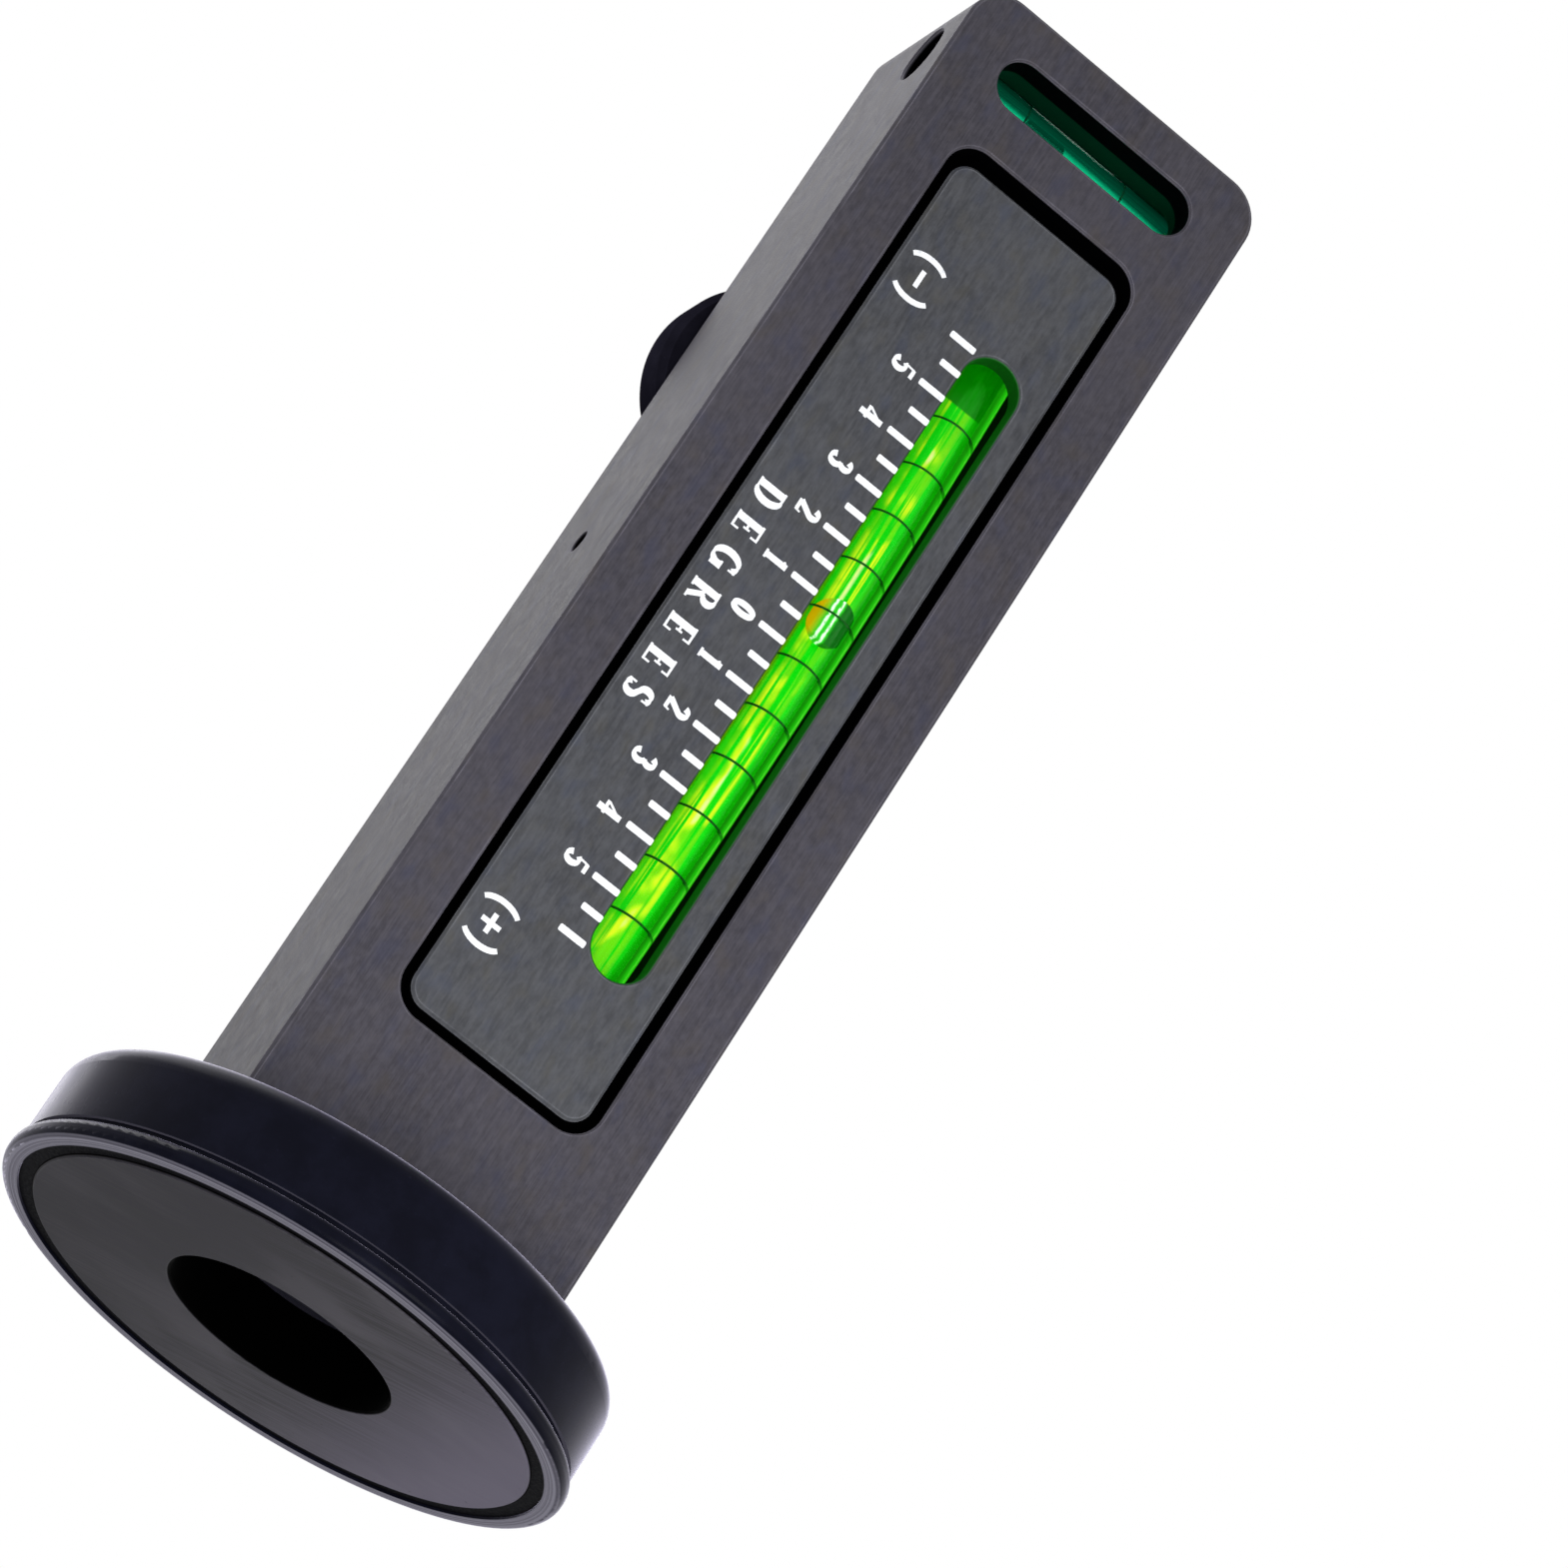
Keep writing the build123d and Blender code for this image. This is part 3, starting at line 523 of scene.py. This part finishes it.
def bubble_finish(name, side, centre, radius, colours):
    """The bubble's painted light, emitted: a painted warm fringe on one side, two painted glints along
    its middle and painted shade on the other side."""
    warm, pale, painted_deep_shade, painted_glint = colours
    finish = Finish(name, specular=0.1, sockets={"Emission Strength": 0.55})
    across = finish.axis(side, centre, radius)
    ripple = finish.noise((0.5, 0.5, 0.9), 3, 0.6)
    wavy = finish.maths("ADD", across, finish.maths("MULTIPLY", finish.maths("SUBTRACT", ripple, 0.5), 0.12))
    # Painted warm fringe on one side, painted glints along the middle and painted shade on the other
    colour = finish.mix(finish.band(wavy, -0.75, -0.35), warm, pale)
    for middle in painted_glint_places:
        offset = finish.maths("ABSOLUTE", finish.maths("SUBTRACT", wavy, middle))
        broken = finish.band(ripple, 0.38, 0.5, 0.3, 1)
        painted_glint_line = finish.maths("MULTIPLY", finish.band(offset, 0.08, 0.03), broken)
        colour = finish.mix(painted_glint_line, colour, painted_glint)
    colour = finish.mix(finish.band(wavy, 0.02, 0.16), colour, painted_deep_shade)
    finish.join(colour, finish.shader.inputs["Emission Color"])
    roughness = finish.band(ripple, 0.3, 0.7, 0.1, 0.2)
    return finish.finish(colour, roughness, finish.relief(ripple, 0.02, 0.4))


def arc(centre_x, centre_y, half_width, half_height, start, end, steps=16):
    """Points along part of an ellipse, from one angle to another in degrees."""
    angles = [radians(start + (end - start) * step / steps) for step in range(steps + 1)]
    return [(centre_x + half_width * cos(a), centre_y + half_height * sin(a)) for a in angles]


def pen_stroke(points, thin=pen_thin, thick=pen_thick):
    """Polygons that a broad pen leaves: thin where it runs across, thick where it runs up or down."""
    sides = []
    for index, (x, y) in enumerate(points):
        before = points[max(index - 1, 0)]
        after = points[min(index + 1, len(points) - 1)]
        run, rise = after[0] - before[0], after[1] - before[1]
        length = hypot(run, rise)
        half = (thin + (thick - thin) * abs(rise) / length) / 2
        across = (-rise / length * half, run / length * half)
        sides.append(((x + across[0], y + across[1]), (x - across[0], y - across[1])))
    return [[a[1], b[1], b[0], a[0]] for a, b in zip(sides, sides[1:])]


def even_stroke(points, width):
    return pen_stroke(points, width, width)


def tick(start, end, height):
    """A level bar with slightly rounded corners."""
    straight = tick_width / 2 - tick_corner
    outline = []
    for x, y, begin in (
        (end - tick_corner, height + straight, 0),
        (start + tick_corner, height + straight, 90),
        (start + tick_corner, height - straight, 180),
        (end - tick_corner, height - straight, 270),
    ):
        outline += arc(x, y, tick_corner, tick_corner, begin, begin + 90, 4)
    return [outline]


# Each glyph is its width and its strokes, on a line of height 1
stem = pen_stroke([(0.17, 0), (0.17, 1)])
glyphs = {
    "0": (0.56, pen_stroke(arc(0.28, 0.5, 0.18, 0.44, 0, 360, 32))),
    "1": (0.42, pen_stroke([(0.22, 0), (0.22, 1)])
          + even_stroke([(0.04, 0.05), (0.4, 0.05)], 0.1)
          + even_stroke([(0.05, 0.82), (0.22, 0.95)], 0.1)),
    "2": (0.56, pen_stroke(arc(0.26, 0.73, 0.17, 0.22, 170, -30) + [(0.07, 0.08)])
          + even_stroke([(0.03, 0.07), (0.5, 0.07)], 0.15)
          + even_stroke([(0.49, 0.02), (0.52, 0.25)], 0.07)),
    "3": (0.54, pen_stroke(arc(0.23, 0.74, 0.17, 0.21, 165, -90))
          + pen_stroke(arc(0.23, 0.29, 0.2, 0.24, 90, -165))),
    "4": (0.56, even_stroke([(0.4, 0.97), (0.04, 0.33)], 0.09)
          + even_stroke([(0.01, 0.3), (0.55, 0.3)], 0.13)
          + pen_stroke([(0.37, 0), (0.37, 1)])),
    "5": (0.54, even_stroke([(0.12, 0.92), (0.5, 0.92)], 0.16)
          + even_stroke([(0.14, 0.95), (0.09, 0.5)], 0.08)
          + pen_stroke(arc(0.23, 0.31, 0.2, 0.26, 135, -160))),
    "D": (0.74, stem + even_stroke([(0.02, 0.04), (0.38, 0.04)], 0.08)
          + even_stroke([(0.02, 0.96), (0.38, 0.96)], 0.08)
          + pen_stroke(arc(0.36, 0.5, 0.28, 0.46, 90, -90), 0.08)),
    "E": (0.68, stem + even_stroke([(0.02, 0.04), (0.62, 0.04)], 0.08)
          + even_stroke([(0.02, 0.96), (0.6, 0.96)], 0.08)
          + even_stroke([(0.17, 0.5), (0.44, 0.5)], 0.08)
          + even_stroke([(0.59, 0.27), (0.59, 0)], 0.07)
          + even_stroke([(0.57, 0.74), (0.57, 1)], 0.07)
          + even_stroke([(0.43, 0.38), (0.43, 0.62)], 0.07)),
    "G": (0.8, pen_stroke(arc(0.4, 0.5, 0.3, 0.46, 48, 318, 24), 0.08)
          + pen_stroke([(0.66, 0.06), (0.66, 0.44)])
          + even_stroke([(0.5, 0.43), (0.79, 0.43)], 0.08)
          + even_stroke([(0.62, 0.72), (0.62, 0.98)], 0.07)),
    "R": (0.8, stem + even_stroke([(0.02, 0.04), (0.34, 0.04)], 0.08)
          + even_stroke([(0.02, 0.96), (0.38, 0.96)], 0.08)
          + pen_stroke(arc(0.36, 0.74, 0.22, 0.22, 90, -90), 0.08)
          + even_stroke([(0.17, 0.5), (0.38, 0.5)], 0.08)
          + even_stroke([(0.36, 0.52), (0.64, 0.04)], 0.18)
          + even_stroke([(0.54, 0.04), (0.78, 0.04)], 0.08)),
    "S": (0.58, pen_stroke(arc(0.29, 0.74, 0.19, 0.22, 35, 250), 0.08)
          + pen_stroke([(0.17, 0.58), (0.41, 0.42)], 0.1, 0.24)
          + pen_stroke(arc(0.29, 0.26, 0.2, 0.22, 70, -150), 0.08)
          + even_stroke([(0.47, 0.72), (0.47, 0.97)], 0.07)
          + even_stroke([(0.08, 0.04), (0.08, 0.3)], 0.07)),
    "(": (0.4, pen_stroke(arc(0.5, 0.5, 0.34, 0.62, 118, 242), 0.06, 0.17)),
    ")": (0.4, pen_stroke(arc(-0.1, 0.5, 0.34, 0.62, 62, -62), 0.06, 0.17)),
    "-": (0.8, even_stroke([(0.12, 0.5), (0.68, 0.5)], 0.15)),
    "+": (0.8, even_stroke([(0.1, 0.5), (0.7, 0.5)], 0.15)
          + even_stroke([(0.4, 0.2), (0.4, 0.8)], 0.15)),
}


def lettering(text, base, middle, height, length=None):
    """Polygons of a line of print that reads down the bar, its letters' tops towards the vial.
    base is where the letters stand and middle is the line's middle up the bar."""
    widths = [glyphs[letter][0] * height for letter in text]
    gaps = max(len(text) - 1, 1)
    space = (length - sum(widths)) / gaps if length else letter_gap_share * height
    start = middle + (sum(widths) + space * (len(text) - 1)) / 2
    polygons = []
    for letter, width in zip(text, widths):
        polygons += [
            [(base + y * height, start - x * height) for x, y in polygon]
            for polygon in glyphs[letter][1]
        ]
        start -= width + space
    return polygons


def scale_marks(zero, pitch, whole_degrees, end_marks):
    """Polygons of a scale's ticks and digits, with 0 in the middle."""
    polygons = []
    last = whole_degrees + (1 if end_marks else 0)
    for half_degree in range(-2 * last, 2 * last + 1):
        height = zero + half_degree * pitch / 2
        polygons += tick(*(half_tick if half_degree % 2 else degree_tick), height)
        if half_degree % 2 == 0 and abs(half_degree) <= 2 * whole_degrees:
            digit = str(abs(half_degree) // 2)
            polygons += lettering(digit, digit_line, height, digit_height)
    return polygons


def make_piece(name, body, mesh):
    """An object from a finished bmesh, which rides on a body."""
    bmesh.ops.recalc_face_normals(mesh, faces=mesh.faces)
    data = bpy.data.meshes.new(name)
    mesh.to_mesh(data)
    mesh.free()
    piece = bpy.data.objects.new(name, data)
    bpy.context.scene.collection.objects.link(piece)
    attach(piece, body)
    return piece


def make_print(name, body, polygons, face_y, sense, shift=0.0, zero=0.0):
    """Ink on a dial face: the polygons joined where they overlap, raised by the ink's thickness.
    sense is -1 on the camber face. It is 1 on the caster face, where the print is shifted along X and
    turned upside down about its zero, so that it reads from behind."""
    points = [point for polygon in polygons for point in polygon]
    starts = [0]
    for polygon in polygons:
        starts.append(starts[-1] + len(polygon))
    faces = [list(range(start, end)) for start, end in zip(starts, starts[1:])]
    within_faces = 1
    flat, _, found, _, _, sources = delaunay_2d_cdt(
        [Vector(point) for point in points], [], faces, within_faces, print_join
    )
    triangles = [triangle for triangle, source in zip(found, sources) if source]
    mesh = bmesh.new()
    layers = []
    for depth in (0, print_thickness):
        level = face_y + sense * depth * mm
        layers.append([
            mesh.verts.new(((shift + x) * mm, level, ((1 + sense) * zero - sense * z) * mm))
            for x, z in flat
        ])
    for triangle in triangles:
        for layer in layers:
            mesh.faces.new([layer[index] for index in triangle])
    sides = {}
    for triangle in triangles:
        for a, b in zip(triangle, [*triangle[1:], triangle[0]]):
            sides[frozenset((a, b))] = None if frozenset((a, b)) in sides else (a, b)
    for side in filter(None, sides.values()):
        a, b = side
        mesh.faces.new((layers[0][a], layers[0][b], layers[1][b], layers[1][a]))
    return make_piece(name, body, mesh)


def make_rings(name, body, turns, pivot, radii, directions):
    """Thin dark lines round a vial's bore, one at each turn, in degrees, about the pivot of its arc.
    radii are those of the arc's crown and of the bore, and pivot and radii are in millimetres.
    directions are out of the crown, along the vial and across it."""
    crown, bore = radii
    facing, along_vial, across = (Vector(direction) for direction in directions)
    radius = bore + ring_sink
    mesh = bmesh.new()
    for turn in turns:
        outward = facing * cos(radians(turn)) + along_vial * sin(radians(turn))
        centre = (Vector(pivot) + outward * (crown - bore)) * mm
        along = across.cross(outward)
        rim = []
        for step in range(ring_steps):
            angle = 2 * pi * step / ring_steps
            out = across * cos(angle) + outward * sin(angle)
            rim.append([
                mesh.verts.new(
                    centre
                    + out * (radius + ring_wire / 2 * cos(2 * pi * k / wire_steps)) * mm
                    + along * ring_wire / 2 * sin(2 * pi * k / wire_steps) * mm
                )
                for k in range(wire_steps)
            ])
        for here, ahead in zip(rim, [*rim[1:], rim[0]]):
            for a, b, c, d in zip(here, [*here[1:], here[0]], [*ahead[1:], ahead[0]], ahead):
                mesh.faces.new((a, b, c, d))
    for face in mesh.faces:
        face.smooth = True
    return make_piece(name, body, mesh)


make_camera()
make_world()
for name, lamp in lamps.items():
    make_lamp(name, *lamp)

# Floor, well below the camera, so that it never hides the magnet face
floor_data = bpy.data.meshes.new("floor")
floor_data.from_pydata(
    [
        (x * floor_half_width, y * floor_half_width, floor_height)
        for x, y in ((-1, -1), (1, -1), (1, 1), (-1, 1))
    ],
    [],
    [(0, 1, 2, 3)],
)
floor = bpy.data.objects.new("floor", floor_data)
bpy.context.scene.collection.objects.link(floor)
floor_finish = Finish("floor_pale", specular=0.2)
floor_tone = floor_finish.mix(floor_finish.noise((300, 300, 300), 3), (0.80, 0.80, 0.80), (0.84, 0.84, 0.84))
floor_data.materials.append(floor_finish.finish(floor_tone, 0.8))

# Places of the vials, from the joints that their bubbles swing on
camber_low, camber_high = (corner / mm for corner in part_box("camber_vial_tube"))
caster_low, caster_high = (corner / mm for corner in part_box("caster_vial_tube"))
level_low, level_high = (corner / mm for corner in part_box("level_vial_tube"))
camber_x, camber_centre_y, camber_zero = (part / mm for part in joints["camber_reading"]["pos_m"])
caster_x, caster_centre_y, caster_zero = (part / mm for part in joints["caster_reading"]["pos_m"])
level_x, level_centre_y, level_z = (part / mm for part in joints["level_reading"]["pos_m"])
camber_crown = camber_centre_y - camber_low.y - tube_wall
caster_crown = caster_high.y - small_tube_wall - caster_centre_y
level_crown = level_centre_y - level_low.y - small_tube_wall
degree_pitch = camber_crown * radians(1)
camber_tube = (camber_high.x - camber_low.x) / 2
caster_tube = (caster_high.x - caster_low.x) / 2
level_tube = (level_high.z - level_low.z) / 2
camber_bore = camber_tube - tube_wall
caster_bore = caster_tube - small_tube_wall
level_bore = level_tube - level_bore_wall

# Hollows of the bar and of the dials that get painted shade, each a box given by two corners
bar_low, bar_high = (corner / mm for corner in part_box("body_block"))
plate_low, plate_high = (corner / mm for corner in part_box("camber_plate"))
cradle_low, cradle_high = (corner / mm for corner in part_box("caster_cradle"))
pin_y, pin_z = (part / mm for part in joints["cradle_tilt"]["pos_m"][1:])
level_y = (level_low.y + level_high.y) / 2
side_room = dial_side_gap + wall_margin
level_room = level_hole_radius + wall_margin
pin_room = pin_hole_radius + wall_margin
pockets = (
    (plate_low.x - side_room, bar_low.y + rim_depth, plate_low.z - dial_low_gap - wall_margin),
    (plate_high.x + side_room, bar_high.y - rim_depth, plate_high.z + dial_high_gap + wall_margin),
)
level_slot = (
    (-level_slot_half_length - wall_margin, bar_low.y + rim_depth, level_z - level_room),
    (level_slot_half_length + wall_margin, level_y, level_z + level_room),
)
level_slot_floor = (
    (-level_slot_half_length - wall_margin, level_low.y - level_painted_glow_depth, level_z - level_room),
    (level_slot_half_length + wall_margin, level_y, level_z + level_room),
)
level_hole = (
    (bar_low.x + rim_depth, level_y - level_room, level_z - level_room),
    (level_hole_length, level_y + level_room, level_z + level_room),
)
pin_hole = (
    (bar_low.x + pin_rim_depth, pin_y - pin_room, pin_z - pin_room),
    (bar_low.x + pin_hole_depth, pin_y + pin_room, pin_z + pin_room),
)
dial_flanks = (
    (cradle_low.x - wall_margin, plate_low.y + rim_depth, plate_low.z - wall_margin),
    (cradle_high.x + wall_margin, cradle_high.y - rim_depth, cradle_high.z + wall_margin),
)
vial_slot = (
    (camber_x - vial_slot_half_width, plate_low.y + rim_depth / 2, camber_zero - vial_slot_half_length),
    (camber_x + vial_slot_half_width, plate_low.y + vial_slot_depth, camber_zero + vial_slot_half_length),
)

# Finishes
foot_axis = ((0, 0, 0), (0, 0, 1))
knob_axis = (tuple(joints["knob_turn"]["pos_m"]), (0, 1, 0))
# Colours of the vials, all emitted as painted light: the tubes' painted glow, fringe and shade, the fluids' dye
# with painted streaks, glint and shade, and the bubbles' painted fringe, glints and shade
green_painted_glow = ((0.0, 0.03, 0.0), (0.20, 0.10, 0.0), (0.006, 0.19, 0.002))
green_dye_and_painted_light = ((0.0, 0.52, 0.0), (0.72, 0.78, 0.01), (0.003, 0.32, 0.0))
# Bubble colours: painted warm fringe, glowing middle, painted shade and painted glint
green_bubble = ((0.70, 0.36, 0.0), (0.02, 0.40, 0.01), (0.0, 0.03, 0.002), (0.75, 0.85, 0.72))
teal_painted_glow = ((0.0, 0.02, 0.01), (0.0, 0.02, 0.01), (0.0, 0.001, 0.0005))
teal_dye_and_painted_light = ((0.002, 0.46, 0.22), (0.01, 0.58, 0.26), (0.0, 0.008, 0.004))
teal_bubble = ((0.001, 0.03, 0.013), (0.001, 0.012, 0.005), (0.0, 0.003, 0.001), (0.03, 0.07, 0.05))
white_print = print_finish("white_print")
# Near-black painted shade for the hollows, and dark painted glows of the vials for the slot walls
painted_hollow_colour = (0.0015, 0.0015, 0.002)
# Painted glow of the vials, dark as shade: teal on the level slot's floor, green on the walls of the vial slot
teal_painted_slot_glow = (0.002, 0.05, 0.022)
green_painted_slot_glow = (0.008, 0.16, 0.010)
bar_painted_hollows = [(box, painted_hollow_colour) for box in (pockets, level_slot, level_hole, pin_hole)]
bar_painted_hollows.append((level_slot_floor, teal_painted_slot_glow))
dial_painted_hollows = [(dial_flanks, painted_hollow_colour), (vial_slot, green_painted_slot_glow)]
finishes = {
    "bar_anodised": anodised("bar_anodised", (0.056, 0.053, 0.064), (0.18, 0.18, 7), bar_painted_hollows),
    "dial_anodised": anodised("dial_anodised", (0.064, 0.066, 0.073), (0.4, 0.4, 3.5), dial_painted_hollows),
    "fastener_steel": steel_finish("fastener_steel", (0.20, 0.20, 0.22)),
    "spring_steel": steel_finish("spring_steel", (0.50, 0.50, 0.52)),
    "vial_plug": resin_finish("vial_plug", (0.02, 0.20, 0.03)),
    "setting_compound": resin_finish("setting_compound", (0.60, 0.62, 0.20)),
    "black_plastic": resin_finish("black_plastic", (0.002, 0.002, 0.003), 0.02),
    "knob_black": plated("knob_black", (0.009, 0.0085, 0.014), knob_axis, 0.6, 0.0, 0.0),
    "cap_black": plated("cap_black", (0.0030, 0.0032, 0.0070), foot_axis, 0.3, 0.03, 1.0),
    "cup_black": plated("cup_black", (0.0030, 0.0032, 0.0070), foot_axis, 0.26, 0.03, 0.6, lip_bare_highlight_height),
    "magnet": magnet_finish("magnet", magnet_bore_radius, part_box("ring_magnet")[1].x / mm),
}
own_finishes = {
    "level_vial_tube": tube_finish("level_tube", 2, level_z, level_tube, 0, teal_painted_glow, level_shade_limits),
    "level_vial_fluid": fluid_finish(
        "level_fluid", 2, level_z, level_bore, 0, teal_dye_and_painted_light, level_shade_limits, 0.7
    ),
    "level_bubble": bubble_finish("level_bubble", 2, level_z, level_bore, teal_bubble),
}
for side, place, tube, bore in (
    ("camber", camber_x, camber_tube, camber_bore), ("caster", caster_x, -caster_tube, -caster_bore)
):
    own_finishes[f"{side}_vial_tube"] = tube_finish(
        f"{side}_tube", 0, place, tube, 2, green_painted_glow, tube_shade_limits
    )
    own_finishes[f"{side}_vial_fluid"] = fluid_finish(
        f"{side}_fluid", 0, place, bore, 2, green_dye_and_painted_light, vial_shade_limits, 0.4, plug_height
    )
    own_finishes[f"{side}_bubble"] = bubble_finish(f"{side}_bubble", 0, place, bore, green_bubble)
for sub in frame["record"]["subparts"]:
    node = frame["nodes"][sub["node"]]
    material = own_finishes.get(sub["node"]) or finishes[sub["material_slot"]]
    node.data.materials.clear()
    node.data.materials.append(material)

# Print on the two dials
camber_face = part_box("camber_plate")[0].y
camber_print = scale_marks(camber_zero, degree_pitch, scale_degrees, True)
camber_print += lettering("DEGREES", word_line, camber_zero - word_drop, word_height, word_length)
camber_print += lettering("(-)", sign_line, top_sign_height, sign_height)
camber_print += lettering("(+)", sign_line, low_sign_height, sign_height)
camber_marks = make_print("camber_print", "gauge", camber_print, camber_face, -1)
caster_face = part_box("caster_cradle")[1].y
caster_print = scale_marks(caster_zero, degree_pitch, scale_degrees, False)
caster_shift = caster_x - caster_tube - camber_x + camber_tube
caster_marks = make_print(
    "caster_print", "cradle", caster_print, caster_face, 1, caster_shift, caster_zero
)
for piece in (camber_marks, caster_marks):
    piece.data.materials.append(white_print)

# Rings round the bores
right, up, front, back = (1, 0, 0), (0, 0, 1), (0, -1, 0), (0, 1, 0)
ring_ink = resin_finish("ring_ink", (0.004, 0.03, 0.006))
for name, body, turns, pivot, radii, directions in (
    (
        "camber_rings", "gauge", range(-camber_ring_reach, camber_ring_reach + 1),
        (camber_x, camber_centre_y, camber_zero), (camber_crown, camber_bore), (front, up, right),
    ),
    (
        "caster_rings", "cradle", range(-caster_ring_reach, caster_ring_reach + 1),
        (caster_x, caster_centre_y, caster_zero), (caster_crown, caster_bore), (back, up, right),
    ),
    (
        "level_rings", "gauge", [side * level_ring_place / (level_crown * radians(1)) for side in (-1, 1)],
        (level_x, level_centre_y, level_z), (level_crown, level_bore), (front, right, up),
    ),
):
    rings = make_rings(name, body, turns, pivot, radii, directions)
    rings.data.materials.append(ring_ink)

scene = bpy.context.scene
scene.view_settings.view_transform = "Standard"
